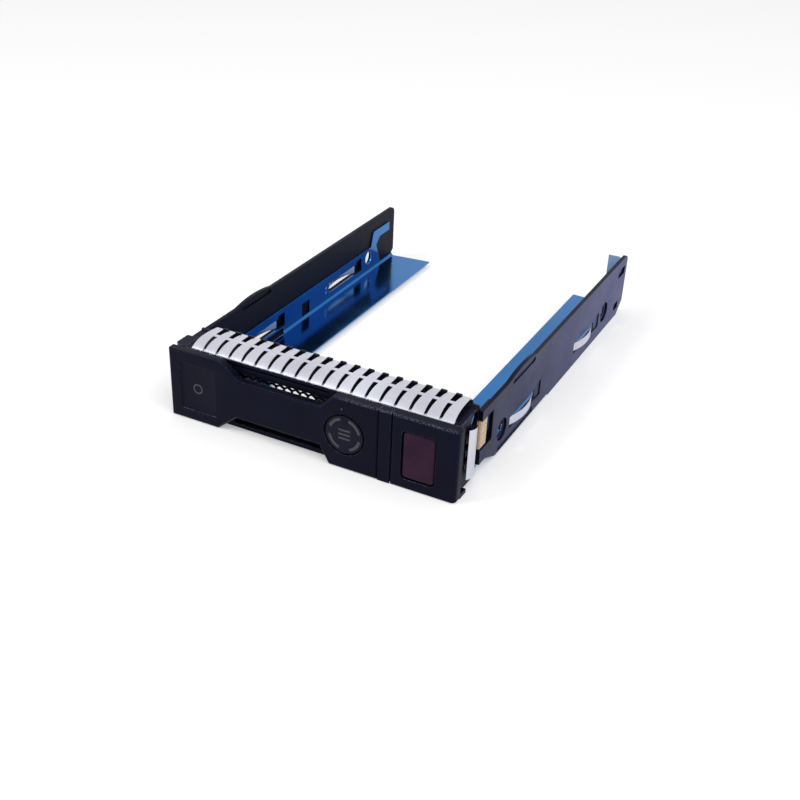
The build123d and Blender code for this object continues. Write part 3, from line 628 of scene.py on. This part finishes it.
def grid_quads(rows: int, columns: int, close_rows: bool, close_columns: bool) -> np.ndarray:
    """Faces of a grid, where vertex (i, j) has the number i * columns + j.

    Args:
        rows: Vertices along the first way.
        columns: Vertices along the second way.
        close_rows: Whether the last row joins the first.
        close_columns: Whether the last column joins the first.

    Returns:
        Four vertex numbers for each face.
    """
    i = np.arange(rows if close_rows else rows - 1)[:, None]
    j = np.arange(columns if close_columns else columns - 1)[None, :]
    down, right = (i + 1) % rows, (j + 1) % columns
    corners = [i * columns + j, down * columns + j, down * columns + right, i * columns + right]
    return np.stack([c.ravel() for c in np.broadcast_arrays(*corners)], axis=1)


def turned(name: str, centre: Point, axis: Point, profile: np.ndarray,
           steps: int = 40) -> bpy.types.Object:
    """Turns a profile about an axis through a centre.

    The point at angle t and profile place (r, h) is centre + h * axis
    + r * (cos t * side + sin t * other).

    Args:
        name: Name of the piece.
        centre: Place where the height is 0.
        axis: Direction of the height.
        profile: Radius and height, one row each, from pole to pole or closed.
        steps: Points round the circle.

    Returns:
        The piece.
    """
    along = np.array(axis, float) / np.linalg.norm(axis)
    side = np.cross(along, (0.0, 0.0, 1.0) if abs(along[2]) < 0.9 else (1.0, 0.0, 0.0))
    side /= np.linalg.norm(side)
    other = np.cross(along, side)
    angle = np.linspace(0, 2 * np.pi, steps, endpoint=False)[None, :, None]
    radius, height = profile[:, 0][:, None, None], profile[:, 1][:, None, None]
    points = np.array(centre) + height * along + radius * (
        np.cos(angle) * side + np.sin(angle) * other)
    closed = bool(np.allclose(profile[0], profile[-1]))
    if closed:
        points = points[:-1]
    return piece_from_arrays(name, points, grid_quads(len(points), steps, closed, True))


def rounded_block(name: str, low: Point, high: Point, radius: float,
                  steps: int = 3) -> bpy.types.Object:
    """A block with round edges.

    A unit sphere's point p is pushed out to core * sign(p) + radius * p, where core is the
    half size less the radius, so each eighth of the sphere moves to its own corner.

    Args:
        name: Name of the piece.
        low: Lowest corner.
        high: Highest corner.
        radius: Radius of the edges.
        steps: Faces across each quarter turn.

    Returns:
        The piece.
    """
    low_corner, high_corner = np.array(low), np.array(high)
    core = (high_corner - low_corner) / 2 - radius
    quarter = np.linspace(0, np.pi / 2, steps + 1)
    turn = np.concatenate([quarter + k * np.pi / 2 for k in range(4)])
    rise = np.concatenate([quarter - np.pi / 2, quarter])
    sign_x = np.repeat([1, -1, -1, 1], steps + 1)[None, :]
    sign_y = np.repeat([1, 1, -1, -1], steps + 1)[None, :]
    sign_z = np.repeat([-1, 1], steps + 1)[:, None]
    x = sign_x * core[0] + radius * np.cos(rise)[:, None] * np.cos(turn)[None, :]
    y = sign_y * core[1] + radius * np.cos(rise)[:, None] * np.sin(turn)[None, :]
    z = sign_z * core[2] + radius * np.sin(rise)[:, None] + 0 * x
    points = np.stack([x, y, z], axis=-1) + (low_corner + high_corner) / 2
    rows, columns = points.shape[:2]
    sides = grid_quads(rows, columns, False, True)
    piece = piece_from_arrays(name, points, sides)
    close_ends(piece.data)
    shade_by_angle(piece.data, math.radians(38))
    return piece


def close_ends(mesh: bpy.types.Mesh) -> None:
    """Fills every open loop of a mesh and turns its faces outwards."""
    build = bmesh.new()
    build.from_mesh(mesh)
    bmesh.ops.holes_fill(build, edges=[e for e in build.edges if e.is_boundary], sides=0)
    bmesh.ops.recalc_face_normals(build, faces=build.faces)
    build.to_mesh(mesh)
    build.free()


def arc_through(start: tuple[float, float], middle: tuple[float, float],
                end: tuple[float, float], count: int) -> np.ndarray:
    """Even points on the circle through three places.

    The centre c is equally far from all three, so 2 (p - start) . c is p . p less
    start . start for the other two places p. The angle then runs evenly between the ends.

    Args:
        start: First place.
        middle: A place between the ends.
        end: Last place.
        count: Number of points.

    Returns:
        The points, one row each.
    """
    a, b, c = (np.array(place, float) for place in (start, middle, end))
    centre = np.linalg.solve(2 * np.array([b - a, c - a]), np.array([b @ b - a @ a, c @ c - a @ a]))
    first, last = (np.arctan2(place[1] - centre[1], place[0] - centre[0]) for place in (a, c))
    angle = np.linspace(first, last, count)
    radius = np.linalg.norm(a - centre)
    return centre + radius * np.stack([np.cos(angle), np.sin(angle)], axis=1)


def sheet_ribbons(name: str, centres: np.ndarray, halves: np.ndarray, path: np.ndarray,
                  lifts: np.ndarray, sheet: float, corner: float) -> bpy.types.Object:
    """Bent strips of sheet side by side, all on one path in Y and Z.

    At step i of strip k the section is a rectangle with broken corners: its half width
    across X is halves[i], its depth along the path's normal is the sheet, and its place is
    centres[k] across and path[i] + lifts[k] * (i / last) squared upwards.

    Args:
        name: Name of the piece.
        centres: X of each strip.
        halves: Half width at each step.
        path: Y and Z of the outer face at each step.
        lifts: Rise of each strip's free end.
        sheet: Thickness of the sheet.
        corner: Width of the broken corners.

    Returns:
        The piece, one mesh with all the strips.
    """
    along = np.gradient(path, axis=0)
    along /= np.linalg.norm(along, axis=1, keepdims=True)
    normal = np.stack([-along[:, 1], along[:, 0]], axis=1)
    side = np.array([1, 1, 1, 1, -1, -1, -1, -1])
    inset = np.array([corner, 0, 0, corner, corner, 0, 0, corner])
    depth = np.array([0, corner, sheet - corner, sheet, sheet, sheet - corner, corner, 0])
    steps, strips, around = len(path), len(centres), len(side)
    share = (np.arange(steps) / (steps - 1)) ** 2
    x = centres[:, None, None] + side * (halves[None, :, None] - inset)
    y = path[:, 0][:, None] - depth * normal[:, 0][:, None]
    z = path[:, 1][:, None] - depth * normal[:, 1][:, None]
    rise = lifts[:, None, None] * share[None, :, None]
    points = np.stack(np.broadcast_arrays(x, y[None], z[None] + rise), axis=-1)
    one = grid_quads(steps, around, False, True)
    quads = (one[None] + np.arange(strips)[:, None, None] * steps * around).reshape(-1, 4)
    piece = piece_from_arrays(name, points, quads)
    close_ends(piece.data)
    shade_by_angle(piece.data, math.radians(38))
    return piece


def joined(name: str, *pieces: bpy.types.Object) -> bpy.types.Object:
    """One piece from several, which are deleted."""
    build = bmesh.new()
    for piece in pieces:
        build.from_mesh(piece.data)
        bpy.data.objects.remove(piece)
    mesh = bpy.data.meshes.new(name)
    build.to_mesh(mesh)
    build.free()
    result = bpy.data.objects.new(name, mesh)
    bpy.context.scene.collection.objects.link(result)
    shade_by_angle(mesh, math.radians(38))
    return result


def softened(node: bpy.types.Object, width: float, segments: int = 2,
             angle: float = 32.0) -> bpy.types.Object:
    """Copy of a CAD node with its doubles merged and its sharp edges rounded.

    Args:
        node: CAD node to copy.
        width: Width of the rounding.
        segments: Faces across the rounding.
        angle: Least turn in degrees of an edge that is rounded.

    Returns:
        The copy, with a live Bevel modifier.
    """
    build = bmesh.new()
    build.from_mesh(node.data)
    bmesh.ops.remove_doubles(build, verts=build.verts, dist=2e-6)
    bmesh.ops.dissolve_limit(build, angle_limit=math.radians(0.4), verts=build.verts,
                             edges=build.edges)
    mesh = bpy.data.meshes.new(node.name + "_finished")
    build.to_mesh(mesh)
    build.free()
    copy = bpy.data.objects.new(node.name + "_finished", mesh)
    bpy.context.scene.collection.objects.link(copy)
    shade_by_angle(mesh, math.radians(angle))
    bevel = copy.modifiers.new("round_edges", "BEVEL")
    bevel.width = width
    bevel.segments = segments
    bevel.limit_method = "ANGLE"
    bevel.angle_limit = math.radians(angle)
    bevel.use_clamp_overlap = True
    bevel.harden_normals = True
    return copy


@dataclass
class Assembly:
    """What every sub-assembly shares: the paint, the CAD nodes and its report."""

    paint: Paint
    nodes: dict[str, bpy.types.Object]

    def report(self, piece: bpy.types.Object) -> bpy.types.Object:
        """Logs a finished piece and returns it."""
        LOG.info("%s: %d faces", piece.name, len(piece.data.polygons))
        return piece

    def coat(self, slot: Slot, *names: str) -> None:
        """Paints CAD nodes that are shown as they are."""
        for name in names:
            self.report(self.paint.put(self.nodes[name], slot))

    def round_off(self, name: str, body: Body, slot: Slot, width: float) -> bpy.types.Object:
        """Shows a CAD node as a copy with rounded edges.

        Args:
            name: Name of the CAD node.
            body: Body that it rides on.
            slot: Slot of its finish.
            width: Width of the rounding.

        Returns:
            The copy.
        """
        copy = softened(self.nodes[name], width)
        return self.own(copy, body, slot, name)

    def own(self, piece: bpy.types.Object, body: Body, slot: Slot,
            *replaced: str) -> bpy.types.Object:
        """Paints a piece and sets it on its body, in place of CAD nodes if any are named."""
        self.paint.put(piece, slot)
        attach(piece, body.value)
        if replaced:
            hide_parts(*replaced)
        return self.report(piece)


@dataclass
class FrontFrame(Assembly):
    """Moulded front frame with its screen, light guide and lamp board."""

    edge: float = 0.22 * MM
    chip_sizes: tuple[tuple[float, float], ...] = ((1.6, 0.8), (1.6, 0.8), (2.2, 1.4), (1.2, 1.2))
    chip_height: float = 0.55 * MM
    brow_depth: float = 1.6 * MM
    brow_fall: float = 2.4 * MM
    roof: float = 1.5 * MM
    lip_reach: float = 1.6 * MM
    lip_top: float = 25.75 * MM
    seat: float = 0.05 * MM

    def build(self) -> None:
        """Builds the brow over the screen and the chips on the lamp board."""
        self.build_brow()
        self.build_chips()

    def build_brow(self) -> None:
        """Builds a dark rim that hangs from the frame's roof in front of the screen, put there as
        painted shade to hide light over the screen.
        """
        screen_low, screen_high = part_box("vent_screen")
        front = screen_low.y - 2.2 * MM
        ceiling = screen_high.z
        # painted shade: a dark rim that hides light at the top of the screen
        brow = rounded_block(
            "frame_shade_brow", (screen_low.x - self.seat, front, ceiling - self.brow_fall),
            (screen_high.x + self.seat, front + self.brow_depth, ceiling + self.roof / 2),
            0.3 * MM)
        self.own(brow, Body.CARRIER, Slot.FRAME)

    def build_chips(self) -> None:
        """Builds the chips on the lamp board."""
        low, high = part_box("lamp_board")
        span = high.x - low.x
        front = low.y
        for index, (wide, tall) in enumerate(self.chip_sizes):
            x = low.x + span * (index + 0.5) / len(self.chip_sizes)
            z = (low.z + high.z) / 2 + (1 if index % 2 else -1) * 2.1 * MM
            chip = rounded_block(
                f"lamp_chip_{index + 1}",
                (x - wide * MM / 2, front - self.chip_height, z - tall * MM / 2),
                (x + wide * MM / 2, front, z + tall * MM / 2), 0.08 * MM)
            self.own(chip, Body.CARRIER, Slot.RING)

    def lower_lip(self, frame: bpy.types.Object) -> None:
        """Lowers the rear lip, which the strip's own lip with its posts stands in for.

        A vertex behind the lip's front and over the lip's new height takes that height.
        """
        _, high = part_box("finger_strip")
        points = np.empty(len(frame.data.vertices) * 3)
        frame.data.vertices.foreach_get("co", points)
        points = points.reshape(-1, 3)
        lip = (points[:, 1] > high.y - self.lip_reach) & (points[:, 2] > self.lip_top)
        points[lip, 2] = self.lip_top
        frame.data.vertices.foreach_set("co", points.ravel())
        frame.data.update()
        LOG.info("rear lip: %d vertices lowered", int(lip.sum()))

    def dress(self) -> None:
        """Rounds the frame and paints the pieces inside it."""
        frame = self.round_off("bezel_frame", Body.CARRIER, Slot.FRAME, self.edge)
        self.lower_lip(frame)
        self.coat(Slot.SCREEN, "vent_screen")
        self.coat(Slot.GUIDE, "light_pipe")
        self.coat(Slot.LAMP_BOARD, "lamp_board")
        self.coat(Slot.FLEX, "flex_circuit")
        self.coat(Slot.ARM, "pivot_pin")


@dataclass
class SwingLever(Assembly):
    """Lever with its end piece, steel arm, ring indicator and small marks."""

    edge: float = 0.2 * MM
    dot_place: tuple[float, float] = (13.4 * MM, 21.8 * MM)
    dot_radius: float = 0.35 * MM
    mark_place: tuple[float, float] = (-41.6 * MM, 12.8 * MM)
    mark_radius: float = 1.6 * MM
    mark_line: float = 0.5 * MM
    disc_radius: float = 6.6 * MM
    groove_shade_profile: tuple[tuple[float, float], ...] = ((6.62, -1.45), (7.24, -1.45), (7.24, -1.2),
                                                     (6.62, -1.2), (6.62, -1.45))
    gap_lip: float = 0.22 * MM

    def build(self) -> None:
        """Builds the small lamp dot over the ring and the plain ring mark on the pad."""
        low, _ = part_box("lever_cover")
        face = low.y
        turn = np.linspace(0, np.pi / 2, 7)
        dome = np.stack([self.dot_radius * np.cos(turn), 0.12 * MM * np.sin(turn)], axis=1)
        foot = np.array([[0.0, -0.2 * MM], [self.dot_radius, -0.2 * MM]])
        dot = turned("lever_dot", (self.dot_place[0], face, self.dot_place[1]),
                     (0, -1, 0), np.concatenate([foot, dome]), 24)
        self.own(dot, Body.LEVER, Slot.GUIDE)
        lip = np.linspace(0, 2 * np.pi, 13)
        ring = np.stack([self.mark_radius + self.mark_line / 2 * np.cos(lip),
                         0.04 * MM * np.sin(lip)], axis=1)
        recess = 0.3 * MM
        mark = turned("pad_ring_mark", (self.mark_place[0], face + recess, self.mark_place[1]),
                      (0, -1, 0), ring, 48)
        self.own(mark, Body.LEVER, Slot.GUIDE)
        self.build_groove_shade(face)
        self.build_gap_lip(face)

    def build_groove_shade(self, face: float) -> None:
        """Builds the dark ring at the bottom of the groove round the disc, put there as painted
        shade so that the groove reads as a dark ring.
        """
        low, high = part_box("ring_disc")
        # painted shade: a dark ring sunk in the groove
        groove_shade = turned("ring_groove_shade", ((low.x + high.x) / 2, face, (low.z + high.z) / 2),
                      (0, -1, 0), np.array(self.groove_shade_profile) * MM, 64)
        self.own(groove_shade, Body.LEVER, Slot.FRAME)

    def build_gap_lip(self, face: float) -> None:
        """Builds a dark fin on the end piece that keeps light out of the gap to the block, so the
        gap shows as painted shade.
        """
        low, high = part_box("lever_end_cap")
        # painted shade: a dark fin put behind the gap where only shade shows
        fin = rounded_block("lever_gap_shade_fin", (high.x - 0.6 * MM, face + 1.0 * MM, low.z + 0.3 * MM),
                            (high.x + self.gap_lip, face + 1.8 * MM, high.z - 0.3 * MM), 0.1 * MM)
        self.own(fin, Body.LEVER, Slot.FRAME)

    def narrow_disc(self, disc: bpy.types.Object) -> None:
        """Draws the disc's rim in, so that the groove round it is wide and dark.

        A vertex farther than the rim's limit from the disc's axis keeps its direction and
        takes the new radius.
        """
        low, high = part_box("ring_disc")
        centre = np.array([(low.x + high.x) / 2, (low.z + high.z) / 2])
        points = np.empty(len(disc.data.vertices) * 3)
        disc.data.vertices.foreach_get("co", points)
        points = points.reshape(-1, 3)
        out = points[:, [0, 2]] - centre
        radius = np.linalg.norm(out, axis=1)
        rim = radius > self.disc_radius
        points[rim, 0] = centre[0] + out[rim, 0] / radius[rim] * self.disc_radius
        points[rim, 2] = centre[1] + out[rim, 1] / radius[rim] * self.disc_radius
        disc.data.vertices.foreach_set("co", points.ravel())
        disc.data.update()

    def dress(self) -> None:
        """Rounds the moulded pieces and paints the rest."""
        self.round_off("lever_cover", Body.LEVER, Slot.FRAME, self.edge)
        self.round_off("lever_end_cap", Body.LEVER, Slot.FRAME, self.edge)
        disc = self.round_off("ring_disc", Body.LEVER, Slot.RING, 0.06 * MM)
        self.narrow_disc(disc)
        self.coat(Slot.GUIDE, "ring_lens")
        self.coat(Slot.ARM, "lever_arm")


@dataclass
class ReleaseButton(Assembly):
    """Burgundy button, the catch that it moves and the catch's spring."""

    edge: float = 0.15 * MM

    def dress(self) -> None:
        """Rounds the button and paints the catch and its spring."""
        self.round_off("release_button", Body.BUTTON, Slot.BUTTON, self.edge)
        self.coat(Slot.RAIL, "release_catch")
        self.coat(Slot.SPRING, "catch_spring")


@dataclass
class SpringStrip(Assembly):
    """Strip of contact fingers on the top, and the contact spring on the right side."""

    edge: float = 0.05 * MM
    count: int = 19
    left: float = -46.2 * MM
    right: float = 49.1 * MM
    sheet: float = 0.25 * MM
    front_gap: float = 0.85 * MM
    rear_gap: float = 2.3 * MM
    rise: float = 2.6 * MM
    droop: float = 0.5 * MM
    flange: float = 1.7 * MM
    bridge_share: tuple[float, float] = (0.52, 0.63)
    bridge_drop: float = 0.05 * MM
    overlap: float = 0.3 * MM
    spread: float = 0.14 * MM
    steps: int = 30
    post_depth: float = 0.8 * MM
    side_steps: int = 14
    side_inset: float = 0.15 * MM
    side_front_fall: float = 0.6 * MM
    side_slant: float = 2.0 * MM

    def arc(self, low: Vector, high: Vector, share: np.ndarray) -> np.ndarray:
        """Outer line of a finger in Y and Z at shares u of its length.

        The height over the seat is rise * (1 - (1 - u) ** 4.5) - droop * u ** 3, a steep
        shoulder at the front, then a slow fall to the free end.
        """
        height = self.rise * (1 - (1 - share) ** 4.5) - self.droop * share ** 3
        return np.stack([low.y + share * (high.y - low.y), low.z + height], axis=1)

    def build(self) -> None:
        """Builds the finger strip, the lip behind it and the side spring."""
        low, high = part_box("finger_strip")
        pitch = (self.right - self.left + self.front_gap) / self.count
        centres = self.left - self.front_gap / 2 + pitch * (np.arange(self.count) + 0.5)
        self.build_strip(low, high, pitch, centres)
        self.build_lip(high, centres[:-1] + pitch / 2)
        self.build_side()

    def build_strip(self, low: Vector, high: Vector, pitch: float, centres: np.ndarray) -> None:
        """Builds the strip: a seat flange, tapered fingers and the bridges between them."""
        share = np.linspace(0, 1, self.steps) ** 1.5
        gaps = self.front_gap + (self.rear_gap - self.front_gap) * share
        lifts = -self.spread * np.random.default_rng(5).random(self.count)
        fingers = sheet_ribbons("strip_fingers", centres, (pitch - gaps) / 2,
                                self.arc(low, high, share), lifts, self.sheet, self.edge)
        inner = np.linspace(*self.bridge_share, 6)
        widths = self.front_gap + (self.rear_gap - self.front_gap) * inner
        bridges = sheet_ribbons("strip_bridges", centres[:-1] + pitch / 2,
                                widths / 2 + self.overlap,
                                self.arc(low, high, inner) - np.array([0.0, self.bridge_drop]),
                                np.zeros(self.count - 1), self.sheet * 0.7, self.edge / 2)
        flange = rounded_block("strip_flange", (self.left, low.y, low.z),
                               (self.right, low.y + self.flange, low.z + self.sheet), self.edge)
        strip = joined("finger_strip_finished", fingers, bridges, flange)
        self.own(strip, Body.CARRIER, Slot.SPRING, "finger_strip")

    def build_lip(self, high: Vector, gaps: np.ndarray) -> None:
        """Builds the frame's raised lip, whose posts stand in the gaps between the free ends."""
        top = high.z - 0.12 * MM
        under = high.z - self.droop - self.sheet - self.spread - 0.15 * MM
        path = np.array([[high.y - self.post_depth, top], [high.y, top]])
        posts = sheet_ribbons("lip_posts", gaps, np.full(2, self.rear_gap / 2 - 0.12 * MM), path,
                              np.zeros(len(gaps)), top - under + 0.3 * MM, 0.1 * MM)
        bar = rounded_block("lip_bar", (self.left, high.y - self.post_depth, under - 1.3 * MM),
                            (self.right, high.y, under), 0.1 * MM)
        self.own(joined("frame_rear_lip", posts, bar), Body.CARRIER, Slot.RING)

    def build_side(self) -> None:
        """Builds the bowed contact spring on the right side.

        It is a strip bent in Y and X, made with X and Z swapped. Its middle sinks towards
        the rear: z falls by slant times the share of the length.
        """
        low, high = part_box("side_spring")
        top = high.x - self.side_inset
        path = arc_through((low.y, top - self.side_front_fall), ((low.y + high.y) / 2, top),
                           (high.y, low.x + self.sheet), self.side_steps)
        half = (high.z - low.z - self.side_slant) / 2
        spring = sheet_ribbons("side_spring_finished", np.zeros(1), np.full(self.side_steps, half),
                               path, np.zeros(1), self.sheet, self.edge)
        points = np.empty(len(spring.data.vertices) * 3)
        spring.data.vertices.foreach_get("co", points)
        across, along, out = points.reshape(-1, 3).T
        share = (along - low.y) / (high.y - low.y)
        upward = high.z - half - self.side_slant * share + across
        spring.data.vertices.foreach_set("co", np.stack([out, along, upward], axis=1).ravel())
        close_ends(spring.data)
        shade_by_angle(spring.data, math.radians(38))
        self.own(spring, Body.CARRIER, Slot.SPRING, "side_spring")


@dataclass
class SideContacts(Assembly):
    """Contact board with its pads in the side window."""

    def dress(self) -> None:
        """Paints the board and its gold pads."""
        self.coat(Slot.BOARD, "contact_board")
        self.coat(Slot.GOLD, "contact_pads")


@dataclass
class SideRails(Assembly):
    """Two moulded rails with their leaf springs."""

    edge: float = 0.22 * MM
    sides: tuple[str, ...] = field(default=("right", "left"))
    slit: tuple[float, float] = (-38.7 * MM, -19.3 * MM)
    slit_height: tuple[float, float] = (21.55 * MM, 23.65 * MM)
    slot_rears: tuple[float, ...] = (-11.2 * MM, 50.0 * MM)
    pocket_length: float = 4.3 * MM
    pocket: tuple[float, float] = (4.8 * MM, 11.0 * MM)
    web: float = 0.35 * MM
    web_sink: float = 0.5 * MM

    def build(self) -> None:
        """Builds thin dark sheets, sunk a little, that close the rails' slits and the rear ends of
        their slots, as painted shade where only shade shows.
        """
        for side, sign in zip(self.sides, (1, -1)):
            low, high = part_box(f"{side}_rail")
            outer = sign * (max(-low.x, high.x) - self.web_sink)
            left, right = sorted((outer, outer - sign * self.web))
            openings = [(self.slit, self.slit_height)]
            openings += [((rear - self.pocket_length, rear + 0.2 * MM), self.pocket)
                         for rear in self.slot_rears]
            # painted shade: dark rail plastic put in the openings so that they read as dark
            shade_webs = [rounded_block(f"{side}_web_{index}", (left, y[0], z[0]), (right, y[1], z[1]),
                                  0.05 * MM) for index, (y, z) in enumerate(openings)]
            self.own(joined(f"{side}_rail_shade_webs", *shade_webs), Body.CARRIER, Slot.RAIL)

    def dress(self) -> None:
        """Rounds both rails, and paints the leaf springs, the rivets and the film tab."""
        for side in self.sides:
            self.round_off(f"{side}_rail", Body.CARRIER, Slot.RAIL, self.edge)
            for place in ("front", "rear"):
                self.round_off(f"{side}_{place}_leaf", Body.CARRIER, Slot.SPRING, 0.05 * MM)
            self.coat(Slot.SPRING, f"{side}_rivets")
        self.coat(Slot.FILM, "film_tab")


@dataclass
class DriveBrackets(Assembly):
    """Two blue brackets that the drive is screwed to."""

    edge: float = 0.1 * MM

    def dress(self) -> None:
        """Shows both brackets with broken edges."""
        for side in ("right", "left"):
            self.round_off(f"{side}_bracket", Body.CARRIER, Slot.BLUE, self.edge)


@dataclass
class Studio:
    """Pale floor, white surroundings, soft lamps and the photograph's camera."""

    floor_half: float = 3.0
    floor_colour: float = 0.86
    floor_glow: float = 0.3
    ambient: float = 0.62
    camera_place: Point = (0.15951, -0.34289, 0.19818)
    azimuth: float = 30.377
    elevation: float = 30.982
    roll: float = 0.290
    lens: float = 50.92
    shift: tuple[float, float] = (0.1000, 0.0250)

    def seen_directly(self, graph: Graph) -> bpy.types.NodeSocket:
        """1 for camera, glossy and transmission rays, otherwise 0."""
        path = graph.add("ShaderNodeLightPath")
        either = graph.math("MAXIMUM", path.outputs["Is Camera Ray"], path.outputs["Is Glossy Ray"])
        return graph.math("MAXIMUM", either, path.outputs["Is Transmission Ray"])

    def surroundings(self) -> None:
        """World that is white where it is seen, and softer as a light."""
        world = bpy.data.worlds.new("surroundings")
        world.use_nodes = True
        world.node_tree.nodes.clear()
        graph = Graph(world.node_tree)
        strength = graph.spread(self.seen_directly(graph), 0.0, 1.0, self.ambient, 1.0)
        back = graph.add("ShaderNodeBackground", {"Color": (1, 1, 1, 1), "Strength": strength})
        graph.add("ShaderNodeOutputWorld", {"Surface": back.outputs[0]})
        bpy.context.scene.world = world

    def floor(self) -> None:
        """Flat pale floor that keeps the shadow."""
        side = np.linspace(-self.floor_half, self.floor_half, 2)
        x, y = np.meshgrid(side, side, indexing="ij")
        points = np.stack([x, y, np.zeros_like(x) - 0.02 * MM], axis=-1)
        plane = piece_from_arrays("studio_floor", points, grid_quads(2, 2, False, False), False)
        if plane.data.polygons[0].normal.z < 0:
            plane.data.flip_normals()
        material = bpy.data.materials.new("studio_floor")
        material.use_nodes = True
        material.node_tree.nodes.clear()
        graph = Graph(material.node_tree)
        tone = self.floor_colour
        matt = graph.add("ShaderNodeBsdfDiffuse", {"Color": (tone, tone, tone, 1)})
        glow = graph.add("ShaderNodeEmission", {
            "Color": (1, 1, 1, 1),
            "Strength": graph.math("MULTIPLY", self.seen_directly(graph), self.floor_glow)})
        both = graph.add("ShaderNodeAddShader", {0: matt.outputs[0], 1: glow.outputs[0]})
        graph.add("ShaderNodeOutputMaterial", {"Surface": both.outputs[0]})
        plane.data.materials.append(material)

    def lamp(self, name: str, place: Point, size: float, power: float) -> None:
        """Soft square lamp that looks at the carrier."""
        data = bpy.data.lights.new(name, "AREA")
        data.shape = "SQUARE"
        data.size = size
        data.energy = power
        lamp = bpy.data.objects.new(name, data)
        lamp.location = place
        lamp.rotation_mode = "QUATERNION"
        lamp.rotation_quaternion = (-Vector(place)).to_track_quat("-Z", "Y")
        bpy.context.scene.collection.objects.link(lamp)

    def camera(self) -> None:
        """Camera at the photograph's place, azimuth, elevation and lens."""
        across, up = math.radians(self.azimuth), math.radians(self.elevation)
        back = Vector((math.sin(across) * math.cos(up), -math.cos(across) * math.cos(up),
                       math.sin(up)))
        data = bpy.data.cameras.new("photo_camera")
        data.sensor_width = 36.0
        data.lens = self.lens
        data.shift_x, data.shift_y = self.shift
        data.clip_start, data.clip_end = 0.01, 20.0
        camera = bpy.data.objects.new("photo_camera", data)
        camera.location = self.camera_place
        camera.rotation_mode = "QUATERNION"
        camera.rotation_quaternion = (-back).to_track_quat("-Z", "Y") @ Quaternion(
            (0, 0, 1), math.radians(self.roll))
        bpy.context.scene.collection.objects.link(camera)
        bpy.context.scene.camera = camera

    def build(self) -> None:
        """Sets up the whole studio."""
        bpy.context.scene.view_settings.view_transform = "Standard"
        self.surroundings()
        self.floor()
        self.lamp("key_lamp", (0.55, -0.35, 0.85), 0.7, 3.6)
        self.lamp("edge_lamp", (-0.48, -0.54, 0.79), 0.22, 1.6)
        self.camera()


def main() -> None:
    """Loads the CAD model, builds each sub-assembly in order and sets up the studio."""
    logging.basicConfig(level=logging.INFO, format="%(name)s %(message)s")
    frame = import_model()
    paint = Paint()
    nodes = frame["nodes"]
    for kind in (FrontFrame, SwingLever, ReleaseButton, SpringStrip, SideContacts,
                 SideRails, DriveBrackets):
        assembly = kind(paint, nodes)
        for step in ("build", "dress"):
            if hasattr(assembly, step):
                getattr(assembly, step)()
    Studio().build()


if __name__ == "__main__":
    main()
